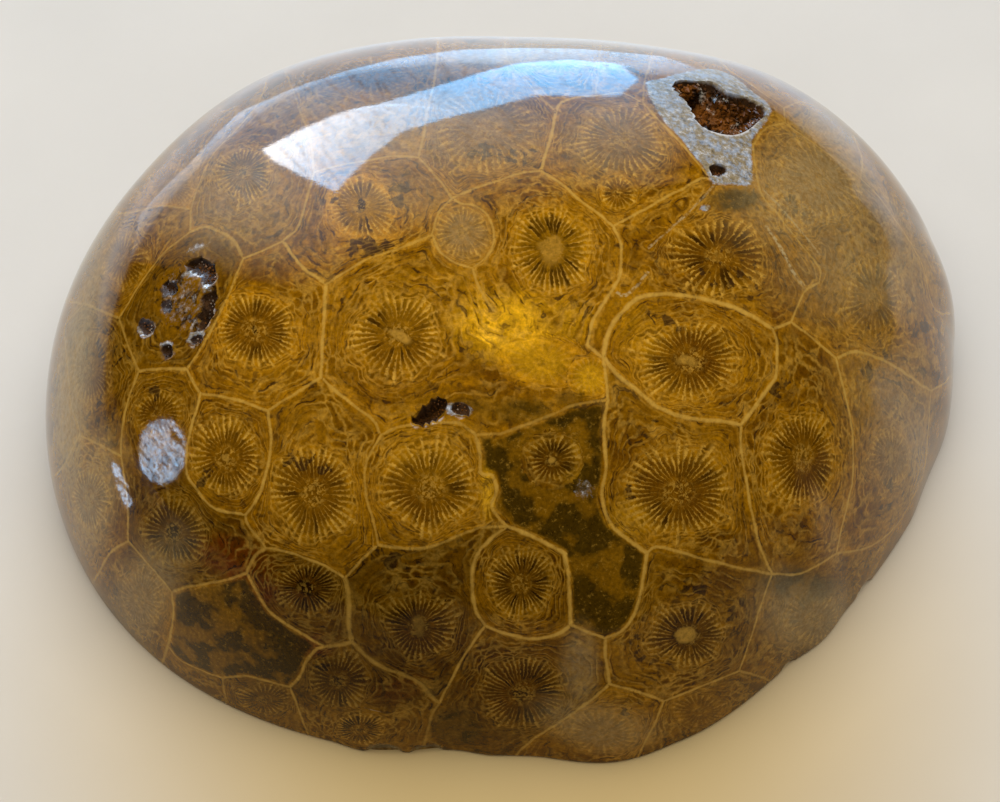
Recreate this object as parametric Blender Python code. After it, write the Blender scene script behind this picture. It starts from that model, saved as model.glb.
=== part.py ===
"""Fossil coral head: a polished dome of honey-coloured calcite on a sawn flat base.

The head is one grown piece. It starts as a cube whose faces are divided into a grid and
pushed out to a leaning, gently swelling egg. Boolean cutters then saw the base flat, open
the three crystal vugs and nip the chips out of the base's edge.
Units are metres, +Z is up, and the origin is on the base, near the middle.
"""

import math

import bmesh
import bpy
from mathutils import Euler, Matrix, Vector

# Driving dimensions of the polished dome.
HALF_WIDTH = 0.0555
HALF_DEPTH = 0.0470
CROWN_RISE = 0.0430
WAIST_CENTRE = Vector((0.0, 0.0020, 0.0025))
LEAN_TO_LEFT = math.radians(5.7)
LEAN_TO_BACK = math.radians(4.0)

# How far the waist swells out (+) or flattens (-), at equal steps of azimuth
# anticlockwise from +X. The swell fades towards the crown.
WAIST_SWELLS = (
    0.0000, 0.0040, 0.0045, 0.0005, -0.0020, -0.0015, -0.0005, -0.0015,
    -0.0010, 0.0005, 0.0015, 0.0010, 0.0000, 0.0015, -0.0020, -0.0030,
)

# The grid on each face of the starting cube, in cells a side.
GRID_CELLS = 30

# The saw cut: a block whose top face is the plane of the base.
SAW_BLOCK_SIZE = 0.20

# Vugs: name, centre of the mouth, half sizes across, along and into the stone,
# turn about the mouth's normal. The mouth's normal points away from the waist's centre.
VUGS = (
    ("crown_vug", Vector((0.0252, 0.0172, 0.0395)), (0.0056, 0.0050, 0.0050), 20.0),
    ("shoulder_pit", Vector((-0.0318, -0.0090, 0.0380)), (0.0030, 0.0062, 0.0024), 35.0),
    ("front_pit", Vector((-0.0075, -0.0243, 0.0382)), (0.0025, 0.0015, 0.0022), 15.0),
)

# Chips on the edge of the base: azimuth in degrees, radius of the scallop, depth of the bite.
RIM_CHIPS = (
    (255.0, 0.0030, 0.0009),
    (260.5, 0.0024, 0.0008),
    (312.5, 0.0016, 0.0006),
    (328.5, 0.0022, 0.0009),
)

# The rim is looked for this far above and below level, down to the given angle.
RIM_SEARCH_SPAN = math.radians(45.0)
RIM_SEARCH_END = math.radians(0.0001)

# A cube's edge seen from its middle spans twice this angle.
CUBE_FACE_HALF_ANGLE = math.radians(45.0)

CUTTER_DIVISIONS = 3
CHIP_DIVISIONS = 2
SHARP_ANGLE = math.radians(40.0)

HONEY_CALCITE = (0.235, 0.130, 0.022, 1.0)
POLISH_ROUGHNESS = 0.12


def clear_scene():
    for item in list(bpy.data.objects):
        bpy.data.objects.remove(item, do_unlink=True)


def new_collection(name):
    collection = bpy.data.collections.new(name)
    bpy.context.scene.collection.children.link(collection)
    return collection


def waist_swell(azimuth):
    """Smooth closed curve through WAIST_SWELLS (Catmull-Rom), read at an azimuth."""
    count = len(WAIST_SWELLS)
    place = (azimuth / math.tau * count) % count
    step = int(place)
    part = place - step
    before, start, end, after = (WAIST_SWELLS[(step + shift) % count] for shift in (-1, 0, 1, 2))
    slope = end - before
    bend = 2.0 * before - 5.0 * start + 4.0 * end - after
    twist = 3.0 * (start - end) + after - before
    return 0.5 * (2.0 * start + slope * part + bend * part ** 2 + twist * part ** 3)


def skin_point(direction):
    """Point of the dome's skin along a unit direction from the middle of its waist."""
    reach = 1.0 / math.sqrt(
        (direction.x / HALF_WIDTH) ** 2
        + (direction.y / HALF_DEPTH) ** 2
        + (direction.z / CROWN_RISE) ** 2
    )
    azimuth = math.atan2(direction.y, direction.x)
    reach += waist_swell(azimuth) * (1.0 - direction.z ** 2)
    lean = Matrix.Rotation(LEAN_TO_BACK, 3, "X") @ Matrix.Rotation(LEAN_TO_LEFT, 3, "Y")
    return WAIST_CENTRE + lean @ (direction * reach)


def even_direction(corner):
    """Direction for a point of the unit cube, spread evenly over the sphere."""
    return Vector([math.tan(value * CUBE_FACE_HALF_ANGLE) for value in corner]).normalized()


def material(name, colour, roughness):
    finish = bpy.data.materials.new(name)
    finish.use_nodes = True
    surface = finish.node_tree.nodes["Principled BSDF"]
    surface.inputs["Base Color"].default_value = colour
    surface.inputs["Roughness"].default_value = roughness
    surface.inputs["Metallic"].default_value = 0.0
    return finish


def mesh_object(name, shape, collection):
    mesh = bpy.data.meshes.new(name)
    shape.to_mesh(mesh)
    shape.free()
    item = bpy.data.objects.new(name, mesh)
    collection.objects.link(item)
    return item


def dome(collection):
    """The whole polished skin, still closed underneath by the part the saw removes."""
    shape = bmesh.new()
    bmesh.ops.create_cube(shape, size=2.0)
    bmesh.ops.subdivide_edges(shape, edges=shape.edges[:], cuts=GRID_CELLS - 1, use_grid_fill=True)
    for vert in shape.verts:
        vert.co = skin_point(even_direction(vert.co))
    head = mesh_object("coral_head", shape, collection)
    head.data.shade_smooth()
    head.data.set_sharp_from_angle(angle=SHARP_ANGLE)
    head.data.materials.append(material("polished_honey_calcite", HONEY_CALCITE, POLISH_ROUGHNESS))
    return head


def hide_cutter(cutter):
    cutter.display_type = "WIRE"
    cutter.hide_render = True
    return cutter


def saw_block(collection):
    shape = bmesh.new()
    below = Matrix.Translation((0.0, 0.0, -SAW_BLOCK_SIZE / 2.0))
    bmesh.ops.create_cube(shape, size=SAW_BLOCK_SIZE, matrix=below)
    return hide_cutter(mesh_object("saw_block", shape, collection))


def vug_cutter(name, mouth, half_sizes, turn_degrees, collection):
    shape = bmesh.new()
    bmesh.ops.create_icosphere(shape, subdivisions=CUTTER_DIVISIONS, radius=1.0)
    outwards = (mouth - WAIST_CENTRE).to_track_quat("Z", "Y").to_matrix().to_4x4()
    turn = Euler((0.0, 0.0, math.radians(turn_degrees))).to_matrix().to_4x4()
    size = Matrix.Diagonal((*half_sizes, 1.0))
    bmesh.ops.transform(
        shape, matrix=Matrix.Translation(mouth) @ outwards @ turn @ size, verts=shape.verts[:]
    )
    return hide_cutter(mesh_object(name, shape, collection))


def rim_point(azimuth):
    """Where the skin meets the plane of the base, found by halving the angle below level."""
    low = -RIM_SEARCH_SPAN
    high = RIM_SEARCH_SPAN
    while high - low > RIM_SEARCH_END:
        middle = (low + high) / 2.0
        flat = math.cos(middle)
        rim = skin_point(Vector((flat * math.cos(azimuth), flat * math.sin(azimuth), math.sin(middle))))
        if rim.z > 0.0:
            high = middle
        else:
            low = middle
    return rim


def chip_cutter(azimuth_degrees, radius, bite, collection):
    shape = bmesh.new()
    rim = rim_point(math.radians(azimuth_degrees))
    outwards = Vector((rim.x, rim.y, 0.0)).normalized()
    centre = rim + outwards * (radius - bite)
    centre.z = 0.0
    bmesh.ops.create_icosphere(
        shape, subdivisions=CHIP_DIVISIONS, radius=radius, matrix=Matrix.Translation(centre)
    )
    return hide_cutter(mesh_object(f"rim_chip_{azimuth_degrees:.0f}", shape, collection))


def cut(target, cutter):
    boolean = target.modifiers.new(cutter.name, "BOOLEAN")
    boolean.operation = "DIFFERENCE"
    boolean.solver = "EXACT"
    boolean.object = cutter


def build():
    clear_scene()
    parts = new_collection("fossil_coral_head")
    cutters = new_collection("cutters")
    head = dome(parts)
    cut(head, saw_block(cutters))
    for name, mouth, half_sizes, turn_degrees in VUGS:
        cut(head, vug_cutter(name, mouth, half_sizes, turn_degrees, cutters))
    for azimuth_degrees, radius, bite in RIM_CHIPS:
        cut(head, chip_cutter(azimuth_degrees, radius, bite, cutters))


build()
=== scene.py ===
"""Fossil coral head: a polished dome of honey-coloured calcite on a sawn flat base.

The polished skin is a net of rings round a leaning crown. The corallite walls and cups are
drawn on it as they lie on the stone, and their places reach the finish as mesh attributes,
so the pattern stays sharp however near the eye comes. Past what is drawn, more cups are
seeded over the back. Lengths are metres unless a name ends in mm, and +Z is up.
"""

import math
from dataclasses import dataclass
from functools import partial
from typing import NamedTuple

import bpy
import numpy as np
from bpy.props import FloatProperty, FloatVectorProperty, IntProperty, PointerProperty
from mathutils import Matrix, Vector, noise
from mathutils.bvhtree import BVHTree
from mathutils.geometry import tessellate_polygon
from mathutils.kdtree import KDTree


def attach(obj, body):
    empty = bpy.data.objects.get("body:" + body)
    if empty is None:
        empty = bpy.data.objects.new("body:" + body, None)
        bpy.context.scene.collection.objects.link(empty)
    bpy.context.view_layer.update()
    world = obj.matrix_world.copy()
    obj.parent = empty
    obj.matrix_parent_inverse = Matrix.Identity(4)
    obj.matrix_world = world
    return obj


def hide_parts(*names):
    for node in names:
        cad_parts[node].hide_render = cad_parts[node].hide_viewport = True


bl_info = {
    "name": "Fossil coral head",
    "version": (1, 0, 0),
    "blender": (4, 5, 0),
    "location": "3D View > Sidebar > Coral",
    "description": "Builds a polished fossil coral head with its crystal-lined vugs",
    "category": "Add Mesh",
}

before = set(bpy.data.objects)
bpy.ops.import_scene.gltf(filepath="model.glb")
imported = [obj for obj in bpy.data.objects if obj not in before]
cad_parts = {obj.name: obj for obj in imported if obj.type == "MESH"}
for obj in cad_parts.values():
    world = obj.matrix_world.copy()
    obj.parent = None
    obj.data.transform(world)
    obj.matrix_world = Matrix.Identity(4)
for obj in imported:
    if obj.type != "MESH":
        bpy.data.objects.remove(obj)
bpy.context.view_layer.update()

MM = 0.001

# ---------------------------------------------------------------------------------------
# The dome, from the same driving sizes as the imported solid.
HALF_WIDTH = 0.0555
HALF_DEPTH = 0.0470
CROWN_RISE = 0.0430
WAIST_CENTRE = np.array((0.0, 0.0020, 0.0025))
LEAN_TO_LEFT = math.radians(5.7)
LEAN_TO_BACK = math.radians(4.0)
LEAN = np.array(Matrix.Rotation(LEAN_TO_BACK, 3, "X") @ Matrix.Rotation(LEAN_TO_LEFT, 3, "Y"))

# How far the waist swells out (+) or flattens (-), at equal steps of azimuth from +X. The
# values are a least-squares fit's, rounded to half a millimetre, and three are raised.
WAIST_SWELLS = (
    0.0000, 0.0040, 0.0045, 0.0005, -0.0020, -0.0015, -0.0005, -0.0015,
    -0.0010, 0.0005, 0.0015, 0.0010, 0.0000, 0.0015, -0.0020, -0.0030,
)

# Small touches on the waist: azimuth and half width in degrees, and height.
WAIST_TOUCHES = (
    (11.0, 7.0, 0.0005), (252.0, 5.0, 0.0004), (263.0, 6.0, -0.0006),
    (284.0, 10.0, 0.0008), (319.0, 6.0, 0.0005), (349.0, 8.0, -0.0005),
)

# Chips on the edge of the base: azimuth in degrees, radius of the scallop, depth of the bite.
RIM_CHIPS = (
    (255.0, 0.0030, 0.0009),
    (260.5, 0.0024, 0.0008),
    (312.5, 0.0016, 0.0006),
    (328.5, 0.0022, 0.0009),
)

# The crown is searched for the rim between these angles down from the leaning axis.
HIGHEST_RIM = math.radians(60.0)
LOWEST_RIM = math.radians(135.0)
HALVINGS = 30

# The view that the pixel places below are read in: a 1000 by 802 frame.
FRAME_MIDDLE = (500.0, 401.0)
FRAME_WIDTH = 1000.0
LENS_MM = 83.2
SENSOR_MM = 36.0
PIXELS_PER_SLOPE = LENS_MM / SENSOR_MM * FRAME_WIDTH
PIXELS_PER_MM = 8.25
CAMERA_ELEVATION = math.radians(55.0)
CAMERA_DISTANCE = 0.280
CAMERA_TARGET = Vector((0.0, 0.0, 0.0052))
CAMERA_AHEAD = Vector((0.0, math.cos(CAMERA_ELEVATION), -math.sin(CAMERA_ELEVATION)))
CAMERA_UP = Vector((0.0, math.sin(CAMERA_ELEVATION), math.cos(CAMERA_ELEVATION)))
CAMERA_PLACE = CAMERA_TARGET - CAMERA_AHEAD * CAMERA_DISTANCE
STONE_MIDDLE_PIXEL = (505.0, 405.0)
LIMB_RADIUS_MM = 48.0

# ---------------------------------------------------------------------------------------
# Corallite walls: width in millimetres, strength of the line, then its points in pixels.
# Points past the outline lie over the edge of the stone, by as much.
WALLS = (
    (0.40, 0.8, (190, 232), (205, 227), (220, 232), (234, 241), (243, 258)),
    (0.35, 0.7, (243, 258), (225, 302), (205, 341), (187, 369)),
    (0.40, 0.9, (187, 369), (163, 369), (139, 371)),
    (0.35, 0.7, (139, 371), (128, 345), (119, 318)),
    (0.35, 0.6, (119, 318), (143, 280), (165, 252), (190, 232)),
    (0.35, 0.7, (119, 318), (100, 310), (84, 304), (62, 300), (28, 290)),
    (0.35, 0.8, (139, 371), (128, 400), (122, 429), (121, 456)),
    (0.35, 0.8, (187, 369), (193, 382), (200, 394)),
    (0.35, 0.8, (200, 394), (230, 398), (268, 411)),
    (0.40, 0.9, (200, 394), (196, 412), (191, 427), (186, 468), (197, 490), (214, 508), (245, 515)),
    (0.40, 0.9, (268, 411), (271, 443), (265, 477), (256, 500), (245, 515)),
    (0.35, 0.6, (245, 515), (248, 525), (266, 548)),
    (0.35, 0.7, (268, 411), (295, 393), (321, 378)),
    (0.45, 0.9, (321, 378), (323, 330), (326, 284)),
    (0.35, 0.8, (321, 378), (343, 397), (373, 420), (381, 435)),
    (0.40, 0.9, (326, 284), (306, 270), (293, 256), (283, 241)),
    (0.35, 0.8, (283, 241), (264, 250), (243, 258)),
    (0.35, 0.7, (283, 241), (298, 226), (308, 193), (314, 172)),
    (0.35, 0.7, (326, 284), (348, 270), (370, 258), (400, 248), (432, 235)),
    (0.35, 0.8, (190, 232), (191, 209)),
    (0.30, 0.6, (191, 209), (160, 206), (120, 213), (80, 195)),
    (0.30, 0.6, (191, 209), (199, 184), (214, 153), (245, 120), (262, 95), (275, 45)),
    (0.30, 0.7, (432, 235), (440, 252), (455, 262), (472, 268)),
    (0.30, 0.7, (472, 268), (488, 255), (494, 236), (488, 216), (475, 206), (461, 203), (453, 198)),
    (0.30, 0.7, (432, 235), (438, 214), (453, 198)),
    (0.35, 0.7, (472, 268), (478, 285), (485, 298), (493, 310)),
    (0.35, 0.7, (453, 198), (437, 178), (419, 157)),
    (0.35, 0.7, (419, 157), (424, 133), (428, 108), (436, 70), (440, 5)),
    (0.35, 0.7, (419, 157), (395, 156), (370, 160), (340, 165), (314, 172)),
    (0.30, 0.5, (314, 172), (310, 140), (300, 110), (275, 45)),
    (0.35, 0.7, (453, 198), (476, 188), (500, 180), (520, 173), (541, 171)),
    (0.40, 0.9, (541, 171), (547, 150), (553, 128), (556, 112), (561, 103), (578, 97), (596, 96)),
    (0.30, 0.5, (556, 112), (530, 85), (505, 50), (520, 0)),
    (0.40, 0.9, (541, 171), (562, 184), (580, 200), (598, 213), (613, 226)),
    (0.40, 0.9, (613, 226), (621, 245), (621, 262), (618, 280), (602, 305), (592, 323), (588, 345)),
    (0.35, 0.8, (613, 226), (638, 213), (662, 199), (684, 188), (702, 178), (712, 180)),
    (0.40, 0.9, (643, 103), (660, 122), (679, 141), (697, 162), (712, 180)),
    (0.30, 0.8, (596, 96), (622, 93), (643, 103)),
    (0.30, 0.5, (596, 96), (598, 70), (600, 50), (600, 5)),
    (0.30, 0.6, (643, 103), (645, 80), (650, 62), (660, 10)),
    (0.30, 0.7, (753, 145), (756, 170), (762, 195), (779, 216), (800, 243), (819, 268), (819, 283)),
    (0.30, 0.6, (712, 180), (735, 182), (756, 170)),
    (0.30, 0.6, (753, 145), (766, 128), (785, 123)),
    (0.30, 0.6, (784, 108), (800, 102), (818, 104), (845, 85)),
    (0.30, 0.7, (785, 123), (820, 148), (861, 179), (885, 205), (920, 260), (938, 312), (985, 300)),
    (0.30, 0.7, (861, 179), (862, 159), (857, 145), (853, 126), (870, 95)),
    (0.30, 0.8, (715, 20), (720, 60), (752, 85), (784, 108)),
    (0.30, 0.8, (784, 108), (785, 123)),
    (
        0.55, 1.0, (603, 358), (606, 341), (612, 326), (621, 314), (639, 298), (662, 294),
        (680, 295), (700, 298), (720, 303), (739, 310), (757, 319), (773, 329),
    ),
    (0.50, 1.0, (773, 329), (777, 345), (776, 373), (771, 384), (757, 404), (741, 425)),
    (
        0.55, 1.0, (603, 358), (616, 373), (629, 384), (652, 403), (662, 409), (677, 415),
        (695, 419), (718, 421), (741, 425),
    ),
    (0.35, 0.8, (773, 329), (791, 322)),
    (0.30, 0.8, (791, 322), (798, 306), (805, 291), (819, 283)),
    (0.40, 0.9, (791, 322), (812, 338), (836, 358)),
    (0.40, 0.9, (836, 358), (848, 353), (860, 352), (883, 360), (907, 374), (920, 384), (931, 391)),
    (0.35, 0.8, (931, 391), (945, 383), (954, 375), (990, 370)),
    (0.40, 0.9, (836, 358), (846, 398), (852, 429), (853, 452), (852, 483), (841, 531), (836, 554)),
    (0.40, 0.9, (741, 425), (741, 445), (746, 479), (753, 517), (760, 546), (772, 574)),
    (0.35, 0.8, (772, 574), (802, 573), (836, 554)),
    (0.35, 0.7, (836, 554), (869, 547), (895, 527), (910, 503), (924, 472), (928, 434), (931, 391)),
    (0.35, 0.8, (772, 574), (762, 602), (754, 628), (746, 652), (739, 671)),
    (0.45, 0.9, (588, 345), (603, 358)),
    (0.40, 0.9, (603, 358), (606, 378), (608, 400)),
    (
        0.45, 0.9, (608, 400), (604, 423), (605, 445), (606, 468), (602, 496), (606, 516),
        (616, 530), (629, 540), (647, 553),
    ),
    (0.35, 0.8, (647, 553), (657, 547), (680, 552), (700, 558), (740, 568), (772, 574)),
    (0.45, 0.9, (647, 553), (643, 580), (639, 600), (631, 620), (620, 632), (605, 638)),
    (0.50, 1.0, (507, 526), (520, 531), (540, 540), (564, 553)),
    (0.50, 1.0, (564, 553), (568, 575), (570, 600), (570, 625)),
    (0.45, 1.0, (570, 625), (558, 634), (540, 638), (525, 638), (505, 633), (485, 626)),
    (0.45, 0.9, (485, 626), (475, 609), (472, 579), (476, 557), (492, 538), (507, 526)),
    (0.45, 0.9, (570, 625), (587, 632), (605, 638)),
    (0.40, 0.9, (605, 638), (606, 660), (610, 684)),
    (0.40, 0.9, (610, 684), (590, 701), (560, 722), (527, 744), (505, 770)),
    (0.40, 0.9, (610, 684), (635, 691), (664, 701)),
    (0.40, 0.9, (664, 701), (700, 687), (739, 671)),
    (0.35, 0.7, (739, 671), (755, 675), (771, 681), (790, 690)),
    (0.35, 0.8, (664, 701), (655, 723), (642, 748), (633, 775)),
    (0.30, 0.6, (381, 435), (366, 463), (365, 486), (368, 505), (373, 519), (378, 545)),
    (0.40, 0.7, (378, 545), (400, 548), (422, 548), (439, 544), (460, 535), (480, 528), (507, 526)),
    (0.40, 0.7, (381, 435), (395, 428), (409, 425), (435, 423), (459, 423), (476, 435)),
    (0.45, 0.8, (476, 435), (480, 452), (481, 473), (492, 475), (497, 490), (492, 507), (507, 526)),
    (0.35, 0.8, (345, 578), (325, 566), (302, 557), (284, 551), (266, 548)),
    (0.35, 0.7, (345, 578), (360, 562), (378, 545)),
    (0.60, 0.7, (345, 578), (349, 600), (349, 625), (352, 642)),
    (0.35, 0.9, (485, 626), (470, 647), (455, 672), (440, 703)),
    (0.35, 0.5, (501, 434), (522, 426), (546, 417), (576, 405), (608, 400)),
    (0.35, 0.5, (476, 435), (488, 434), (501, 434)),
    (0.35, 0.8, (80, 435), (72, 449), (66, 462), (50, 480), (20, 498)),
    (0.35, 0.8, (80, 435), (100, 445), (121, 456)),
    (0.30, 0.7, (80, 435), (77, 422), (72, 408), (69, 385), (66, 350), (66, 325), (84, 304)),
    (0.35, 0.8, (121, 456), (124, 475), (127, 495), (128, 515), (128, 541)),
    (0.35, 0.8, (128, 541), (110, 553), (100, 571), (88, 590), (70, 618)),
    (0.35, 0.8, (128, 541), (150, 566), (172, 592)),
    (0.35, 0.7, (172, 592), (186, 587), (200, 585), (225, 580), (247, 573)),
    (0.40, 0.8, (172, 592), (173, 608), (172, 625), (168, 646), (160, 668), (150, 690)),
    (0.45, 0.8, (247, 573), (252, 583), (266, 607), (279, 619), (302, 634), (325, 647)),
    (0.40, 0.7, (247, 573), (255, 556), (266, 548)),
    (0.45, 0.7, (223, 678), (245, 676), (262, 680), (290, 687)),
    (0.35, 0.7, (223, 678), (205, 672), (180, 660), (168, 646)),
    (0.30, 0.6, (223, 678), (224, 690), (226, 706), (220, 735)),
    (0.40, 0.8, (290, 687), (300, 676), (306, 662), (315, 650), (325, 647)),
    (0.35, 0.8, (290, 687), (297, 705), (303, 722), (308, 735), (312, 765)),
    (0.60, 0.7, (325, 647), (338, 645), (352, 642)),
    (0.60, 0.6, (352, 642), (368, 658), (385, 668), (415, 680), (430, 695), (440, 703)),
    (0.35, 0.5, (440, 703), (432, 715), (428, 730), (424, 748), (424, 775)),
)

# The far side of the outermost cups, from the front left round the back to the right.
FAR_WALL_WIDTH_MM = 0.35
FAR_WALL_STRENGTH = 0.8
FAR_WALL = (
    (205, 745), (150, 690), (100, 665), (70, 618), (35, 560), (20, 498), (10, 430), (12, 350),
    (28, 290), (45, 235), (80, 195), (120, 145), (180, 90), (275, 45), (350, 15), (440, 5),
    (520, 0), (600, 5), (660, 10), (715, 20), (790, 45), (870, 95), (925, 150), (960, 220),
    (985, 300), (990, 370), (1000, 420),
)

# Healed cracks and stray pale threads: width in millimetres, strength, points in pixels.
SEAMS = (
    (0.46, 1.0, (767, 227), (782, 250), (793, 272), (803, 285)),
    (0.36, 0.9, (618, 293), (627, 295), (647, 273)),
    (0.30, 0.7, (650, 247), (680, 220), (693, 208), (713, 187)),
    (0.30, 0.7, (764, 190), (790, 218), (818, 252)),
    (0.18, 0.6, (365, 708), (380, 712)),
)


@dataclass(frozen=True)
class Calice:
    """One coral cup: centre and ring radii in pixels, and what it is made of.

    The core is the knot in the middle: its long and short radius as shares of the ring and
    its turn in degrees. Its tone runs from -1, a dark eye, to 1, pale calcite. Bubbles is
    how dark the blisters outside the ring are, clear how much of the cell is windowy calcite
    without plates, and shade how much darker than its neighbours the whole cell is.
    """

    x: float
    y: float
    across: float
    up: float
    septa: int = 17
    gaps: float = 0.5
    core: tuple = (0.14, 0.12, 0.0)
    tone: float = -0.4
    strength: float = 1.0
    gold: float = 0.3
    bud: bool = False
    bubbles: float = 0.45
    clear: float = 0.0
    shade: float = 0.0


CALICES = (
    Calice(243, 172, 27, 27, gaps=0.8, gold=0.2, shade=0.1),
    Calice(170, 185, 22, 20, strength=0.5),
    Calice(121, 260, 20, 25, septa=15, gaps=0.3, tone=0.2, strength=0.7, shade=0.15),
    Calice(90, 368, 19, 35, gaps=0.3, strength=0.7, gold=0.4, shade=0.3),
    Calice(158, 413, 22, 23, septa=14, gaps=0.4, strength=0.7, shade=0.3),
    Calice(88, 500, 18, 31, gaps=0.3, tone=0.4, gold=0.2),
    Calice(140, 600, 20, 28, gaps=0.3, strength=0.6, gold=0.1, shade=0.2),
    Calice(
        173, 533, 30, 32, gaps=0.9, core=(0.30, 0.22, 80.0), tone=-0.9, gold=0.5, shade=0.45,
        bubbles=0.6,
    ),
    Calice(
        226, 458, 33, 38, septa=18, gaps=0.3, core=(0.12, 0.10, 0.0), tone=0.7, gold=0.1,
        bubbles=0.3, shade=0.1,
    ),
    Calice(
        255, 330, 37, 33, septa=20, gaps=0.6, core=(0.16, 0.07, 100.0), tone=-0.9, gold=0.6,
        bubbles=0.35,
    ),
    Calice(
        398, 335, 44, 40, septa=18, gaps=0.6, core=(0.26, 0.10, 150.0), tone=0.8, gold=0.2,
        bubbles=0.35,
    ),
    Calice(
        362, 207, 33, 28, septa=17, gaps=0.8, core=(0.24, 0.14, 90.0), tone=-0.9, gold=0.9,
        bubbles=0.3,
    ),
    Calice(463, 232, 25, 25, septa=15, gaps=0.1, tone=0.1, strength=0.7, gold=0.0, bubbles=0.1),
    Calice(487, 126, 48, 42, septa=19, gaps=0.3, tone=0.1, strength=0.7, gold=0.0),
    Calice(552, 249, 36, 40, septa=20, gaps=0.8, core=(0.30, 0.28, 0.0), tone=0.5, gold=0.4),
    Calice(620, 139, 45, 33, septa=19, gaps=0.6, tone=0.2, strength=0.9, gold=0.0),
    Calice(618, 193, 17, 17, septa=10, gaps=0.3, gold=0.5, bud=True),
    Calice(
        718, 256, 46, 36, septa=16, gaps=1.3, core=(0.16, 0.10, 20.0), tone=0.2, gold=0.1,
        bubbles=0.5,
    ),
    Calice(820, 180, 42, 40, septa=18, gaps=0.3, tone=0.2, strength=0.75, gold=0.0),
    Calice(790, 207, 10, 13, septa=6, gaps=0.8, strength=1.0, bud=True),
    Calice(808, 217, 8, 8, septa=5, gaps=0.8, strength=1.0, bud=True),
    Calice(875, 298, 28, 37, septa=16, gaps=0.8, strength=0.8, gold=0.1),
    Calice(
        688, 361, 48, 40, septa=20, gaps=0.6, core=(0.26, 0.12, 158.0), tone=0.7, gold=0.5,
        bubbles=0.25,
    ),
    Calice(543, 362, 35, 22, septa=9, gaps=0.0, strength=0.35, gold=0.9, bud=True),
    Calice(591, 376, 18, 18, septa=10, gaps=0.1, strength=0.5, gold=0.9, bud=True),
    Calice(
        313, 493, 40, 45, septa=19, gaps=0.7, core=(0.22, 0.20, 0.0), tone=-0.2, gold=0.4,
        bubbles=0.5, shade=0.15,
    ),
    Calice(
        429, 488, 44, 43, septa=19, gaps=0.7, core=(0.24, 0.20, 0.0), tone=-0.1, gold=0.6,
        bubbles=0.6, shade=0.15,
    ),
    Calice(
        552, 460, 23, 22, septa=12, gaps=0.6, core=(0.16, 0.15, 0.0), tone=0.9, bud=True, shade=0.35,
        bubbles=0.8,
    ),
    Calice(
        679, 492, 50, 43, septa=21, gaps=0.5, core=(0.30, 0.24, 0.0), tone=-0.1, gold=0.5,
        bubbles=0.6, shade=0.2,
    ),
    Calice(
        803, 458, 33, 45, septa=20, gaps=0.8, core=(0.36, 0.20, 85.0), tone=0.1, gold=0.6,
        bubbles=0.5, shade=0.15,
    ),
    Calice(891, 457, 20, 28, septa=14, gaps=0.4, core=(0.30, 0.12, 85.0), tone=0.6, strength=0.7),
    Calice(
        521, 584, 31, 34, septa=20, gaps=0.9, core=(0.22, 0.20, 0.0), tone=-0.1, gold=0.5,
        bubbles=1.0, shade=0.3,
    ),
    Calice(
        418, 626, 34, 32, septa=18, gaps=0.7, core=(0.30, 0.24, 90.0), tone=0.5, gold=0.2,
        bubbles=0.9, shade=0.5,
    ),
    Calice(
        306, 588, 30, 26, septa=18, gaps=1.0, core=(0.34, 0.24, 150.0), tone=-0.9, gold=0.4,
        bubbles=0.6, shade=0.5,
    ),
    Calice(
        338, 681, 28, 27, septa=15, gaps=0.4, core=(0.20, 0.16, 0.0), tone=-0.6, gold=0.2,
        bubbles=0.7, shade=0.45,
    ),
    Calice(360, 730, 26, 14, septa=15, gaps=0.9, strength=1.0, gold=0.1, shade=0.35),
    Calice(265, 700, 25, 14, septa=13, gaps=0.6, strength=0.8, gold=0.1, shade=0.4),
    Calice(
        522, 693, 39, 32, septa=22, gaps=0.8, core=(0.24, 0.18, 0.0), tone=-0.7, gold=0.1,
        bubbles=0.6, shade=0.4,
    ),
    Calice(602, 733, 34, 20, septa=14, gaps=0.3, strength=0.6, gold=0.1, shade=0.1),
    Calice(
        688, 636, 37, 31, septa=18, gaps=1.1, core=(0.24, 0.24, 0.0), tone=1.0, gold=0.4,
        bubbles=0.8, shade=0.3,
    ),
    Calice(816, 620, 26, 24, septa=14, gaps=0.4, strength=0.85, gold=0.1, shade=0.10),
    Calice(700, 712, 24, 16, septa=12, gaps=0.3, strength=0.5, gold=0.1, shade=0.3),
    Calice(910, 520, 16, 14, septa=10, gaps=0.2, strength=0.2),
    Calice(370, 75, 40, 16, septa=15, gaps=0.2, strength=0.6),
    Calice(480, 58, 26, 12, septa=13, gaps=0.2, strength=0.5),
    Calice(560, 60, 26, 12, septa=13, gaps=0.2, strength=0.5),
    Calice(830, 118, 14, 12, septa=12, gaps=0.2, strength=0.5),
    Calice(900, 235, 12, 18, septa=12, gaps=0.2, strength=0.3),
    Calice(178, 300, 20, 30, strength=0.0, clear=0.35, shade=0.4),
    Calice(720, 110, 20, 20, strength=0.0),
    Calice(680, 75, 20, 20, strength=0.0),
    Calice(604, 592, 20, 20, strength=0.0, clear=1.0),
    Calice(550, 500, 20, 20, strength=0.0, clear=0.85),
    Calice(235, 640, 30, 30, strength=0.0, clear=0.9),
    Calice(66, 400, 5, 20, strength=0.3),
)

# Cups over the back and on the sawn base are seeded until none would be nearer than this.
SEED = 4
HIDDEN_SPACING = 0.0125
HIDDEN_RING = (0.0032, 0.0046)
HIDDEN_SEPTA = (15, 21)

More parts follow.
